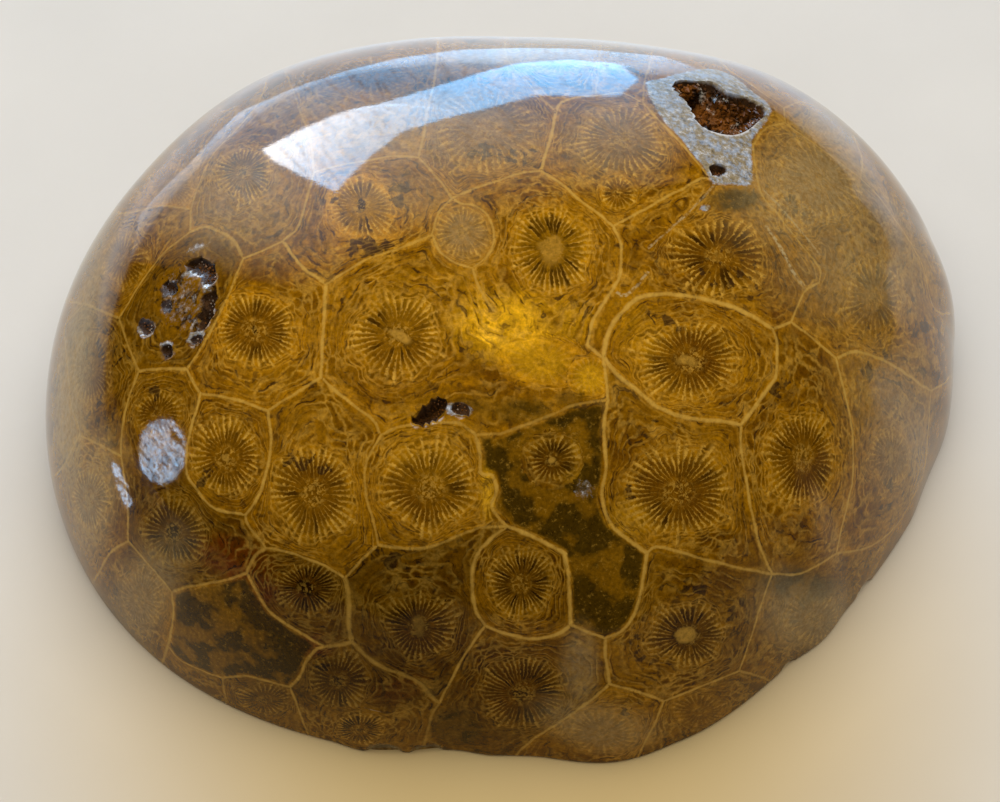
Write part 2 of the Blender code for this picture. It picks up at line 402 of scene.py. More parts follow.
# ---------------------------------------------------------------------------------------
# Soft patches: centre and radii in pixels, turn in degrees, amount. Each kind is one
# channel of the finish.
STAINS = (
    (180, 300, 34, 44, 25, 0.6), (205, 300, 12, 30, 0, 0.4),
    (372, 247, 28, 12, 10, 0.9), (398, 195, 14, 22, 0, 0.8), (330, 205, 12, 16, 0, 0.5),
    (500, 152, 46, 14, -8, 0.7), (243, 172, 30, 26, 0, 0.4), (300, 460, 22, 12, 30, 0.7),
    (325, 470, 8, 8, 0, 0.8), (205, 478, 8, 16, -30, 0.9), (632, 490, 14, 12, 0, 0.8),
    (668, 322, 26, 7, -20, 0.7), (730, 272, 50, 30, 0, 0.4), (775, 395, 10, 26, -30, 0.5),
    (320, 665, 12, 8, 0, 0.8), (890, 484, 8, 8, 0, 1.0), (925, 328, 8, 7, 0, 0.7),
    (922, 370, 8, 6, 0, 0.6), (868, 372, 7, 11, 0, 0.7), (890, 355, 8, 6, 0, 0.5),
    (627, 713, 12, 7, -30, 0.6), (400, 560, 45, 12, 0, 0.6), (228, 665, 12, 16, 20, 0.9),
    (95, 345, 30, 26, 0, 0.5), (102, 410, 22, 24, 0, 0.5), (155, 395, 22, 12, 0, 0.5),
    (620, 235, 10, 14, 0, 0.3), (878, 320, 22, 26, 0, 0.3), (700, 590, 48, 8, 0, 0.4),
    (735, 610, 16, 22, 0, 0.4), (640, 650, 14, 26, 0, 0.3), (640, 440, 28, 8, 0, 0.3),
)
REDS = (
    (235, 560, 52, 26, -18, 1.0), (262, 590, 26, 30, 30, 0.8), (315, 646, 26, 14, 0, 1.0),
    (545, 470, 30, 26, 0, 0.3), (280, 600, 60, 40, 40, 0.4), (400, 690, 40, 16, 20, 0.6),
    (600, 425, 10, 24, 0, 0.3), (418, 620, 60, 50, 0, 0.25), (525, 690, 70, 50, 0, 0.3),
)
CLEARS = (
    (800, 585, 44, 22, 0, 0.7), (455, 728, 34, 20, -10, 0.7), (400, 700, 40, 22, 20, 0.4),
    (575, 400, 26, 14, 0, 0.5), (735, 200, 34, 14, 0, 0.8), (465, 405, 40, 12, 0, 0.5),
    (520, 412, 40, 16, 0, 0.7), (485, 545, 20, 12, -30, 0.4),
)
# Painted light: golden glow where light gathers inside the stone.
PAINTED_GLOWS = (
    (489, 334, 18, 18, 0, 1.0), (505, 325, 62, 42, 0, 0.72), (560, 320, 46, 30, -10, 0.40),
    (540, 362, 40, 24, 0, 0.45), (590, 378, 20, 20, 0, 0.5), (488, 490, 9, 34, 0, 0.65),
    (430, 450, 60, 60, 0, 0.15), (362, 207, 36, 30, 0, 0.25), (552, 250, 44, 46, 0, 0.2),
    (625, 520, 26, 24, 0, 0.3), (640, 330, 30, 40, 0, 0.2), (430, 300, 80, 60, 0, 0.15),
    (575, 478, 14, 12, 0, 0.3), (578, 438, 8, 22, 0, 0.3),
)
SILVERS = (
    (192, 273, 11, 4, 0, 0.8), (145, 328, 9, 8, 0, 0.8), (196, 336, 11, 6, 30, 0.9),
    (166, 345, 8, 4, 0, 0.8), (170, 287, 8, 7, 0, 0.6), (206, 283, 4, 8, 0, 0.9),
    (211, 312, 4, 9, 0, 0.8), (458, 410, 18, 7, -8, 0.8), (425, 420, 14, 5, 10, 0.7),
    (584, 490, 13, 14, 0, 0.35), (705, 208, 6, 4, 0, 0.7), (196, 248, 16, 6, 20, 0.4),
    (182, 300, 34, 46, 25, 0.30),
)
# Pale patches: partly milky calcite, partly a painted reflection haze of the polish along the limbs
# and the top rim.
PALES_AND_SHEENS = (
    (68, 380, 24, 150, 6, 0.75), (90, 250, 24, 50, -25, 0.5),
    (88, 500, 30, 60, 0, 0.50), (140, 600, 34, 46, -25, 0.40), (300, 100, 90, 26, -15, 0.25),
    (560, 45, 120, 16, 0, 0.6), (830, 130, 60, 36, 25, 0.5), (463, 232, 30, 30, 0, 0.40),
    (610, 140, 60, 46, 0, 0.35), (600, 730, 60, 24, 0, 0.40), (815, 620, 50, 40, 0, 0.50),
    (900, 420, 36, 90, 0, 0.35), (870, 250, 60, 80, 0, 0.50), (580, 670, 20, 40, 0, 0.3),
    (230, 200, 80, 60, -20, 0.35), (440, 130, 130, 50, -8, 0.40), (820, 185, 62, 66, 0, 0.62),
    (420, 190, 60, 30, 0, 0.25),
)
# Where the whole stone is darker.
SHADES = (
    (390, 78, 130, 24, -14, 0.55),
    (330, 640, 150, 90, 20, 0.45), (560, 540, 90, 120, 0, 0.30), (430, 600, 90, 70, 0, 0.30),
    (500, 700, 150, 60, 0, 0.30), (180, 540, 90, 60, -30, 0.30), (100, 350, 40, 60, 0, 0.25),
    (760, 620, 120, 60, 20, 0.25), (480, 410, 60, 24, 0, 0.25), (420, 550, 60, 24, 0, 0.3),
)
# Grey quartz round the crown's vug, by its outline.
QUARTZ = (
    (647, 84), (662, 79), (678, 74), (709, 69), (733, 76), (750, 90), (768, 104), (770, 114),
    (760, 128), (752, 140), (751, 160), (751, 183), (732, 184), (713, 182), (705, 169),
    (683, 141), (659, 113),
)
QUARTZ_SOFTNESS = 0.0004

# ---------------------------------------------------------------------------------------
# Vugs: mouth's outline in pixels, depth, how far in the wall reaches it, crystal size.
CROWN_VUG = (
    (673, 85), (680, 80), (700, 81), (715, 82), (728, 92), (745, 97), (768, 110), (760, 120),
    (748, 130), (735, 135), (720, 134), (705, 128), (698, 122), (692, 110), (682, 97),
)
CROWN_POCKET = ((709, 166), (718, 163), (728, 167), (727, 173), (718, 176), (710, 172))
SHOULDER_HOLES = (
    ((184, 263), (199, 257), (213, 264), (216, 279), (207, 289), (200, 277), (188, 270)),
    ((204, 291), (216, 285), (215, 305), (208, 325), (198, 333), (191, 329), (199, 312)),
    ((162, 284), (174, 281), (178, 291), (168, 297)),
    ((160, 346), (171, 344), (173, 356), (162, 359)),
    ((138, 322), (150, 319), (153, 333), (141, 337)),
    ((187, 338), (199, 331), (204, 338), (192, 347)),
    ((160, 302), (170, 300), (172, 310), (162, 312)),
)
FRONT_PIT = (
    (410, 422), (415, 414), (427, 404), (434, 399), (447, 399), (447, 407), (442, 418),
    (427, 425), (416, 427),
)
FRONT_CREVICE = ((450, 405), (460, 401), (470, 406), (471, 414), (460, 418), (451, 413))
VUGS = (
    (CROWN_VUG, 0.0042, 0.0010, 1.0),
    (CROWN_POCKET, 0.0012, 0.0005, 0.35),
    (SHOULDER_HOLES[0], 0.0014, 0.0006, 0.35),
    (SHOULDER_HOLES[1], 0.0018, 0.0006, 0.35),
    (SHOULDER_HOLES[2], 0.0009, 0.0005, 0.3),
    (SHOULDER_HOLES[3], 0.0011, 0.0005, 0.3),
    (SHOULDER_HOLES[4], 0.0008, 0.0005, 0.3),
    (SHOULDER_HOLES[5], 0.0008, 0.0005, 0.3),
    (SHOULDER_HOLES[6], 0.0006, 0.0004, 0.3),
    (FRONT_PIT, 0.0020, 0.0007, 0.35),
    (FRONT_CREVICE, 0.0007, 0.0005, 0.3),
)
OUTLINE_STEP_PIXELS = 4
# Points nearer to a mouth's outline than this are moved on to it.
VUG_SNAP = 0.00022
# The lit rim round a mouth: its width, how fast it brightens downwards, its least light, and
# how its light follows the size of the crystals.
RIM_WIDTH = 0.00055
RIM_SLOPE = 1.6
RIM_LEAST = 0.35
RIM_BY_CRYSTAL = 0.35
# The rough wall of a vug: height, at most this share of its depth, size, and the fractal's
# roughness, gain and octaves.
VUG_ROUGHNESS = 0.00045
ROUGH_SHARE = 0.7
VUG_GRAIN = 0.0011
VUG_FRACTAL = (0.8, 2.0, 3)


def srgb(hex_colour):
    """Linear RGB of an sRGB hex colour."""
    parts = [int(hex_colour[i:i + 2], 16) / 255.0 for i in (1, 3, 5)]
    return [c / 12.92 if c <= 0.04045 else ((c + 0.055) / 1.055) ** 2.4 for c in parts]


def colour_property(name, description, hex_colour):
    return FloatVectorProperty(
        name=name, description=description, subtype="COLOR", size=3, min=0.0, max=1.0,
        default=srgb(hex_colour),
    )


def length_property(name, description, metres):
    return FloatProperty(
        name=name, description=description, subtype="DISTANCE", unit="LENGTH",
        default=metres, min=0.0, precision=5,
    )


class StoneSizes(bpy.types.PropertyGroup):
    """Net, rim and pattern of the polished stone."""

    rings: IntProperty(
        name="Rings", description="Rings of the net from crown to rim", default=150, min=20,
    )
    rim_round: length_property("Rim rounding", "Radius worn on the base's edge", 0.0005)
    septum: FloatProperty(
        name="Septum", description="Width of a septum as a share of the room between two",
        subtype="FACTOR", default=0.38, min=0.05, max=0.95,
    )
    dissepiments: length_property("Dissepiments", "Spacing of the blister plates", 0.00075)
    blister: length_property("Blisters", "Length of a blister along the ring", 0.0017)
    scratch: length_property("Scratch spacing", "Between fine polishing scratches", 0.0004)
    saw_mark: length_property("Saw marks", "Spacing of the marks on the base", 0.0009)


class StoneColours(bpy.types.PropertyGroup):
    """Colours of the calcite and of what stains it, and of the painted glow, sheen and glints."""

    body: colour_property("Body", "Honey-brown calcite between the plates", "#8A5F08")
    deep: colour_property("Deep", "Darker calcite inside the cups", "#5A3603")
    gap: colour_property("Gaps", "Near-black filling between the septa", "#2A1602")
    line: colour_property("Plates", "Tan septa and blister plates", "#BE9238")
    wall: colour_property("Walls", "Walls between the corallites", "#C39A42")
    gold: colour_property("Gold", "Clear golden calcite round the rings", "#AC7608")
    # Glow is painted light: gold where light gathers inside the stone.
    glow: colour_property("Glow", "Where light gathers in the stone", "#FFC21C")
    stain: colour_property("Stain", "Purple-black mineral stain", "#35220F")
    red: colour_property("Rust", "Iron-red stain", "#7C3A08")
    clear: colour_property("Clear calcite", "Olive-dark windows into the stone", "#392904")
    # Silver is quartz tinted by a painted sky reflection; frost is its painted glints, and also the
    # painted light on vug rims.
    silver: colour_property("Quartz", "Bluish quartz round the vugs", "#96A2B6")
    dusty: colour_property("Dusty quartz", "Brownish parts of the quartz", "#8E8166")
    frost: colour_property("Frost", "Pale specks of the quartz", "#D2D6DE")
    # Over the pale patches this is partly milky calcite, partly painted reflection haze; on seams
    # and chips it is the calcite's own.
    pale: colour_property("Pale calcite", "Milky calcite near the edge", "#AE9C72")
    druse: colour_property("Druse", "Brown lining of the vugs", "#38220A")
    sawn: colour_property("Sawn base", "Dull sawn calcite", "#A58A5C")


class CrystalSizes(bpy.types.PropertyGroup):
    """Druse crystals that line the vugs."""

    length: length_property("Length", "Longest crystal", 0.0009)
    width: length_property("Width", "Widest crystal", 0.0010)
    spacing: length_property("Spacing", "Least distance between crystals", 0.00035)
    seed: IntProperty(name="Seed", description="Picks the places of the crystals", default=7)
    amber: colour_property("Amber", "Iron-stained crystals", "#7A4A1A")
    frost: colour_property("Frost", "Clean pale crystals", "#CFC9BC")


class StageLook(bpy.types.PropertyGroup):
    """Floor and light of the studio."""

    floor: colour_property("Floor", "White paper", "#DBDCDD")
    sky: colour_property("Room light", "Soft light from all round", "#F4EEE6")
    window: colour_property("Window light", "Cool light from the back", "#7CC6FF")
    cloud: colour_property("Cloud light", "Whiter part of the window", "#DCE6F2")
    # The amber glow on the paper is painted light.
    amber: colour_property("Amber glow", "Paper lit through the stone", "#C9B27F")
    lamp: colour_property("Lamp light", "Soft light from above", "#FFF8EC")


class CoralHead(bpy.types.PropertyGroup):
    """Everything a user would change."""

    sizes: PointerProperty(type=StoneSizes)
    colours: PointerProperty(type=StoneColours)
    crystals: PointerProperty(type=CrystalSizes)
    stage: PointerProperty(type=StageLook)


# ---------------------------------------------------------------------------------------
# Shape of the stone.

def waist_swell(azimuth):
    """Smooth closed curve through WAIST_SWELLS (Catmull-Rom), read at many azimuths."""
    swells = np.array(WAIST_SWELLS)
    count = len(swells)
    place = (azimuth / math.tau * count) % count
    step = place.astype(int)
    part = place - step
    before, start, end, after = (swells[(step + shift) % count] for shift in (-1, 0, 1, 2))
    bend = 2.0 * before - 5.0 * start + 4.0 * end - after
    twist = 3.0 * (start - end) + after - before
    swell = 0.5 * (2.0 * start + (end - before) * part + bend * part ** 2 + twist * part ** 3)
    for middle, half_width, height in WAIST_TOUCHES:
        off = (np.degrees(azimuth) - middle + 180.0) % 360.0 - 180.0
        swell = swell + height * np.clip(1.0 - (off / half_width) ** 2, 0.0, 1.0) ** 2
    return swell


def skin(polar, azimuth):
    """Points of the polished skin, by angle down from the leaning crown and angle round it."""
    level = np.sin(polar)
    ways = np.stack((level * np.cos(azimuth), level * np.sin(azimuth), np.cos(polar)), axis=-1)
    reach = 1.0 / np.linalg.norm(ways / (HALF_WIDTH, HALF_DEPTH, CROWN_RISE), axis=-1)
    reach = reach + waist_swell(azimuth) * level ** 2
    return WAIST_CENTRE + (ways * reach[..., None]) @ LEAN.T


def chart(points):
    """Flat map of the skin: distance from the middle is the angle down from the crown."""
    ways = (points - WAIST_CENTRE) @ LEAN
    polar = np.arctan2(np.hypot(ways[..., 0], ways[..., 1]), ways[..., 2])
    azimuth = np.arctan2(ways[..., 1], ways[..., 0])
    return np.stack((polar * np.cos(azimuth), polar * np.sin(azimuth)), axis=-1)


def polar_at_height(azimuth, height):
    """Angle down from the crown at which the skin has come down to a height."""
    high = np.full_like(azimuth, HIGHEST_RIM)
    low = np.full_like(azimuth, LOWEST_RIM)
    for _ in range(HALVINGS):
        middle = (high + low) / 2.0
        above = skin(middle, azimuth)[..., 2] > height
        high = np.where(above, middle, high)
        low = np.where(above, low, middle)
    return (high + low) / 2.0


def ring_triangles(count, inner_start, outer_start):
    """Triangles between a ring of 6(count-1) points and the ring of 6 count points round it."""
    inner_count = max(6 * (count - 1), 1)
    sector, place = np.divmod(np.arange(6 * count), count)
    outer = outer_start + np.arange(6 * count)
    after = outer_start + (np.arange(6 * count) + 1) % (6 * count)
    inner = inner_start + (sector * (count - 1) + place) % inner_count
    beside = inner_start + (sector * (count - 1) + place + 1) % inner_count
    fans = np.stack((inner, outer, after), axis=-1)
    fills = np.stack((inner, after, beside), axis=-1)[place < count - 1]
    return np.concatenate((fans, fills))


RIM_ROUNDING_STEPS = 3
BASE_MIDDLE = np.array((0.0, 0.0020, 0.0))
# The bake map: the dome fills one disc of the unit square, and the base a small one. Each is
# its middle and its radius.
DOME_DISC = (0.445, 0.445, 0.440)
BASE_DISC = (0.855, 0.855, 0.138)
DOME_SHARE_OF_DISC = 0.985


def stone_net(rings, rim_round):
    """Points and triangles of the whole stone: dome, rounded rim and sawn base.

    Returns the points, the triangles, the number of dome points, where each point lies on
    the flat bake map, and the number of the base's first point.
    """
    ring_of = np.repeat(np.arange(rings + 1), [1] + [6 * k for k in range(1, rings + 1)])
    step = np.concatenate([[0]] + [np.arange(6 * k) for k in range(1, rings + 1)])
    azimuth = step / np.maximum(6 * ring_of, 1) * math.tau
    share = ring_of / rings
    points = [skin(polar_at_height(azimuth, rim_round) * share, azimuth)]
    map_places = [disc_places(share * DOME_SHARE_OF_DISC, azimuth, DOME_DISC)]
    starts = np.concatenate(([0], 1 + 3 * np.arange(rings + 1) * np.arange(1, rings + 2)))
    triangles = [ring_triangles(k, starts[k - 1], starts[k]) for k in range(1, rings + 1)]
    dome_count = len(points[0])

    rim_count = 6 * rings
    rim = points[0][-rim_count:]
    rim_azimuth = azimuth[-rim_count:]
    outwards = rim - BASE_MIDDLE
    outwards[:, 2] = 0.0
    outwards /= np.linalg.norm(outwards, axis=1)[:, None]
    start = dome_count - rim_count
    for turn in range(1, RIM_ROUNDING_STEPS + 1):
        angle = turn / RIM_ROUNDING_STEPS * math.pi / 2.0
        ring = rim - outwards * rim_round * (1.0 - math.cos(angle))
        ring[:, 2] = rim_round * (1.0 - math.sin(angle))
        points.append(ring)
        share_out = DOME_SHARE_OF_DISC + (1.0 - DOME_SHARE_OF_DISC) * turn / RIM_ROUNDING_STEPS
        map_places.append(disc_places(np.full(rim_count, share_out), rim_azimuth, DOME_DISC))
        here = start + np.arange(rim_count)
        beside = start + (np.arange(rim_count) + 1) % rim_count
        triangles.append(np.stack((here, here + rim_count, beside + rim_count), axis=-1))
        triangles.append(np.stack((here, beside + rim_count, beside), axis=-1))
        start += rim_count

    base_rings = rings // 2
    foot = points[-1]
    start_of_base = start + rim_count
    half = np.arange(rim_count // 2)
    here = start + 2 * half
    middle = here + 1
    beside = start + (2 * half + 2) % rim_count
    below = start_of_base + half
    below_beside = start_of_base + (half + 1) % len(half)
    triangles.append(np.stack((middle, below, below_beside), axis=-1))
    triangles.append(np.stack((here, below, middle), axis=-1))
    triangles.append(np.stack((middle, below_beside, beside), axis=-1))
    ring_start = start_of_base
    around = np.arange(rim_count + 1) / rim_count
    closed_foot = np.concatenate((foot, foot[:1]))
    for k in range(base_rings, -1, -1):
        count = max(6 * k, 1)
        turn = np.arange(count) / count
        edge = np.stack([np.interp(turn, around, closed_foot[:, i]) for i in range(3)], axis=-1)
        share_in = k / (base_rings + 1)
        points.append(BASE_MIDDLE + (edge - BASE_MIDDLE) * share_in)
        map_places.append(disc_places(np.full(count, share_in), -turn * math.tau, BASE_DISC))
        if k:
            inner_start = ring_start + count
            triangles.append(ring_triangles(k, inner_start, ring_start)[:, ::-1])
        ring_start += count
    return (
        np.concatenate(points), np.concatenate(triangles), dome_count,
        np.concatenate(map_places), start_of_base,
    )


def disc_places(share, azimuth, disc):
    """Places on a disc of the bake map, by share of its radius and angle round it."""
    x, y, radius = disc
    return np.stack(
        (x + radius * share * np.cos(azimuth), y + radius * share * np.sin(azimuth)), axis=-1
    )


# A chip's face is bruised all over where it is deeper than its bite divided by this.
BRUISE_GAIN = 3.0


def nip_rim(points):
    """Pushes the rim in where a scallop has chipped it. Returns how bruised each point is."""
    bruised = np.zeros(len(points))
    for azimuth_degrees, radius, bite in RIM_CHIPS:
        azimuth = np.array([math.radians(azimuth_degrees)])
        rim = skin(polar_at_height(azimuth, 0.0), azimuth)[0]
        outwards = rim * (1.0, 1.0, 0.0)
        outwards /= np.linalg.norm(outwards)
        centre = rim + outwards * (radius - bite)
        centre[2] = 0.0
        away = points - centre
        distance = np.linalg.norm(away, axis=1)
        inside = (distance < radius) & (points[:, 2] > 0.0)
        flat = np.maximum(radius ** 2 - away[inside, 2] ** 2, 0.0)
        across = away[inside] * (1.0, 1.0, 0.0)
        along = across @ outwards
        side = across - along[:, None] * outwards
        reach = -np.sqrt(np.maximum(flat - (side ** 2).sum(axis=1), 0.0))
        moved = np.minimum(reach - along, 0.0)
        points[inside] += moved[:, None] * outwards
        bruised[inside] = np.clip(-moved / bite * BRUISE_GAIN, 0.0, 1.0)
    return bruised


# ---------------------------------------------------------------------------------------
# From pixels to places on the stone.

def sight(pixel):
    """Way from the camera through a pixel."""
    across = (pixel[0] - FRAME_MIDDLE[0]) / PIXELS_PER_SLOPE
    down = (pixel[1] - FRAME_MIDDLE[1]) / PIXELS_PER_SLOPE
    return (CAMERA_AHEAD + Vector((across, 0.0, 0.0)) - CAMERA_UP * down).normalized()


class Sight:
    """Casts pixels on to the stone, and past its outline carries on over the edge."""

    def __init__(self, points, triangles):
        self.tree = BVHTree.FromPolygons(points.tolist(), triangles.tolist())

    def hit(self, pixel):
        """Where a pixel falls on the stone, or nothing."""
        return self.tree.ray_cast(CAMERA_PLACE, sight(pixel))[0]

    def place(self, pixel):
        """Where a pixel falls on the stone, or over its edge."""
        found = self.hit(pixel)
        if found is not None:
            return np.array(found)
        middle = np.array(STONE_MIDDLE_PIXEL)
        outside = np.array(pixel, float)
        inside = middle
        for _ in range(HALVINGS // 2):
            half = (inside + outside) / 2.0
            if self.hit(half) is None:
                outside = half
            else:
                inside = half
        limb = np.array(self.hit(inside))
        off_mm = np.linalg.norm(np.array(pixel) - inside) / PIXELS_PER_MM
        turn = off_mm / LIMB_RADIUS_MM
        way = limb - WAIST_CENTRE
        way /= np.linalg.norm(way)
        ahead = np.array(CAMERA_AHEAD)
        over = ahead - way * (ahead @ way)
        over /= np.linalg.norm(over)
        moved = (way * math.cos(turn) + over * math.sin(turn)) @ LEAN
        polar = np.array([math.atan2(math.hypot(moved[0], moved[1]), moved[2])])
        return skin(polar, np.array([math.atan2(moved[1], moved[0])]))[0]


def curve_through(corners, step, closed=False):
    """Points of a Catmull-Rom curve through the corners, about a step apart."""
    corners = np.array(corners, float)
    count = len(corners)
    spans = count if closed else count - 1
    curve = []
    for span in range(spans):
        if closed:
            before, start, end, after = (corners[(span + i) % count] for i in (-1, 0, 1, 2))
        else:
            start, end = corners[span], corners[span + 1]
            before = corners[span - 1] if span else 2.0 * start - end
            after = corners[span + 2] if span + 2 < count else 2.0 * end - start
        pieces = max(int(np.linalg.norm(end - start) / step + 0.5), 1)
        for part in np.arange(pieces) / pieces:
            bend = 2.0 * before - 5.0 * start + 4.0 * end - after
            twist = 3.0 * (start - end) + after - before
            curve.append(
                0.5 * (2.0 * start + (end - before) * part + bend * part ** 2 + twist * part ** 3)
            )
    if not closed:
        curve.append(corners[-1])
    return np.array(curve)


# ---------------------------------------------------------------------------------------
# Vugs.

def outwards_at(point):
    """Way out of the stone at a point, from the middle of its waist."""
    way = point - WAIST_CENTRE
    return way / np.linalg.norm(way)


def frame_at(normal):
    """Two ways across a surface, square to its normal and to each other."""
    across = np.cross((0.0, 1.0, 0.0), normal)
    across /= np.linalg.norm(across)
    return across, np.cross(normal, across)


def outline_distance(flat, outline):
    """Signed distance to a closed outline, positive inside, and the nearest point on it."""
    best = np.full(len(flat), np.inf)
    nearest = np.zeros_like(flat)
    inside = np.zeros(len(flat), bool)
    for start, end in zip(outline, np.roll(outline, -1, axis=0)):
        edge = end - start
        share = np.clip((flat - start) @ edge / (edge @ edge), 0.0, 1.0)
        foot = start + share[:, None] * edge
        distance = np.linalg.norm(flat - foot, axis=1)
        closer = distance < best
        best = np.where(closer, distance, best)
        nearest[closer] = foot[closer]
        crosses = (start[1] > flat[:, 1]) != (end[1] > flat[:, 1])
        rise = np.where(crosses, edge[1], 1.0)
        inside ^= crosses & (flat[:, 0] < start[0] + (flat[:, 1] - start[1]) * edge[0] / rise)
    return np.where(inside, best, -best), nearest


def mouth_of(sight_lines, pixels):
    """A smooth closed outline on the stone, its middle, and two ways across it."""
    outline = curve_through(pixels, OUTLINE_STEP_PIXELS, closed=True)
    mouth = np.array([sight_lines.place(pixel) for pixel in outline])
    centre = mouth.mean(axis=0)
    return mouth, centre, np.stack(frame_at(outwards_at(centre)), axis=-1)


def open_vugs(points, dome_count, sight_lines):
    """Sinks each vug into the dome. Returns how deep in a vug each point is, from 0 to 1, or
    down to -1 where its rim catches the light, and the size of the crystals there."""
    lining = np.zeros(len(points))
    grain_size = np.zeros(len(points))
    for pixels, depth, wall_reach, crystal_size in VUGS:
        mouth, centre, axes = mouth_of(sight_lines, pixels)
        normal = outwards_at(centre)
        radius = np.linalg.norm(mouth - centre, axis=1).max() + VUG_SNAP * 4.0
        reach = radius * 1.2
        near = np.flatnonzero(np.linalg.norm(points[:dome_count] - centre, axis=1) < reach)
        flat = (points[near] - centre) @ axes
        distance, foot = outline_distance(flat, (mouth - centre) @ axes)
        snapped = np.abs(distance) < VUG_SNAP
        points[near[snapped]] += (foot - flat)[snapped] @ axes.T
        on_rim = (distance < VUG_SNAP) & (distance > -RIM_WIDTH)
        away = np.minimum(distance, 0.0)[on_rim] / RIM_WIDTH
        below = -flat[on_rim, 1] / radius
        lit = (1.0 + away) * np.clip(below * RIM_SLOPE + RIM_LEAST, 0.0, 1.0)
        lit *= crystal_size ** RIM_BY_CRYSTAL
        lining[near[on_rim]] = np.minimum(lining[near[on_rim]], -lit)
        inside = distance >= VUG_SNAP
        chosen = near[inside]
        sink = 1.0 - np.exp(-distance[inside] / wall_reach)
        rough = np.array([
            noise.fractal(Vector(point) / VUG_GRAIN, *VUG_FRACTAL) for point in points[chosen]
        ])
        rough *= min(VUG_ROUGHNESS, depth * ROUGH_SHARE)
        push = depth * sink + rough * np.minimum(sink * 2.0, 1.0)
        points[chosen] -= push[:, None] * normal
        lining[chosen] = np.maximum(lining[chosen], np.minimum(distance[inside] / VUG_SNAP, 1.0))
        grain_size[chosen] = crystal_size
    return lining, grain_size


# ---------------------------------------------------------------------------------------
# Walls and cups.

class WallRun:
    """Straight bits of all drawn walls, on the stone."""

    STEP_PIXELS = 4.0
    SPOT_SPACING = 0.00012

    def __init__(self, sight_lines):
        starts, ends, looks, bars = [], [], [], []
        far_wall = (FAR_WALL_WIDTH_MM, FAR_WALL_STRENGTH, *FAR_WALL)
        for drawn, bar in ((WALLS + (far_wall,), True), (SEAMS, False)):
            for width, strength, *corners in drawn:
                places = [sight_lines.place(p) for p in curve_through(corners, self.STEP_PIXELS)]
                starts += places[:-1]
                ends += places[1:]
                looks += [(width, strength, 0.0 if bar else 1.0)] * (len(places) - 1)
                bars += [bar] * (len(places) - 1)
        self.starts = np.array(starts)
        self.ends = np.array(ends)
        self.looks = np.array(looks)
        self.bars = np.array(bars)
        self.lengths = np.linalg.norm(self.ends - self.starts, axis=1)
        self.along = (self.ends - self.starts) / self.lengths[:, None]
        outwards = self.starts - WAIST_CENTRE
        self.aside = np.cross(outwards, self.along)
        self.aside /= np.linalg.norm(self.aside, axis=1)[:, None]
        self.tree = self.spots_tree()

    def spots_tree(self):
        """Search tree of close spots along the walls, each with its bit's index."""
        counts = np.maximum((self.lengths / self.SPOT_SPACING).astype(int), 1)
        tree = KDTree(int((counts + 1).sum()))
        for index, count in enumerate(counts):
            for part in range(count + 1):
                spot = self.starts[index] + self.along[index] * self.lengths[index] * part / count
                tree.insert(spot, index)
        tree.balance()
        return tree

    def nearest(self, places):
        """Index of the nearest bit of wall, and its distance, for each place."""
        found = [self.tree.find(place)[1:] for place in places]
        return np.array([f[0] for f in found]), np.array([f[1] for f in found])


# A wall's line holds this far past its ends, and a place lower than this is on the base.
END_SLACK = 0.00025
BASE_SLACK = 0.00025


def signed_distance(walls, index, corners):
    """Distance from each triangle's corners to the line of the wall nearest its middle."""
    start = walls.starts[index]
    middle = corners.mean(axis=1)
    along = ((middle - start) * walls.along[index]).sum(axis=1)
    over = along - walls.lengths[index]
    square = ((corners - start[:, None]) * walls.aside[index][:, None]).sum(axis=2)
    past_start = np.linalg.norm(corners - start[:, None], axis=2)
    past_end = np.linalg.norm(corners - walls.ends[index][:, None], axis=2)
    square = np.where((along < -END_SLACK)[:, None], past_start, square)
    return np.where((over > END_SLACK)[:, None], past_end, square)


def regions_between(walls, centres, neighbours):
    """Number of the walled-in region that each dome triangle lies in."""
    flat = chart(centres)
    first, second = neighbours
    middle = (flat[first] + flat[second]) / 2.0
    reach = np.abs(flat[first] - flat[second]).max()
    blocked = np.zeros(len(first), bool)
    starts = chart(walls.starts[walls.bars])
    ends = chart(walls.ends[walls.bars])

    def side(a, b, c):
        """Positive where c lies to the left of the line from a to b."""
        return (b[..., 0] - a[..., 0]) * (c[..., 1] - a[..., 1]) - (
            (b[..., 1] - a[..., 1]) * (c[..., 0] - a[..., 0])
        )

    for start, end in zip(starts, ends):
        low = np.minimum(start, end) - reach
        high = np.maximum(start, end) + reach
        near = np.flatnonzero(((middle > low) & (middle < high)).all(axis=1))
        a, b = flat[first[near]], flat[second[near]]
        crossed = (side(start, end, a) > 0) != (side(start, end, b) > 0)
        crossed &= (side(a, b, start) > 0) != (side(a, b, end) > 0)
        blocked[near[crossed]] = True

    links = [[] for _ in range(len(centres))]
    for a, b in zip(first[~blocked].tolist(), second[~blocked].tolist()):
        links[a].append(b)
        links[b].append(a)
    region = [-1] * len(centres)
    count = 0
    for seed in range(len(centres)):
        if region[seed] >= 0:
            continue
        region[seed] = count
        queue = [seed]
        while queue:
            for other in links[queue.pop()]:
                if region[other] < 0:
                    region[other] = count
                    queue.append(other)
        count += 1
    return np.array(region)


def neighbours_of(triangles):
    """Pairs of triangles that share an edge."""
    edges = np.sort(np.concatenate((triangles[:, :2], triangles[:, 1:], triangles[:, ::2])), axis=1)
    owner = np.tile(np.arange(len(triangles)), 3)
    keys = edges[:, 0].astype(np.int64) * (triangles.max() + 1) + edges[:, 1]
    order = np.argsort(keys, kind="stable")
    same = np.flatnonzero(keys[order][1:] == keys[order][:-1])
    return owner[order[same]], owner[order[same + 1]]


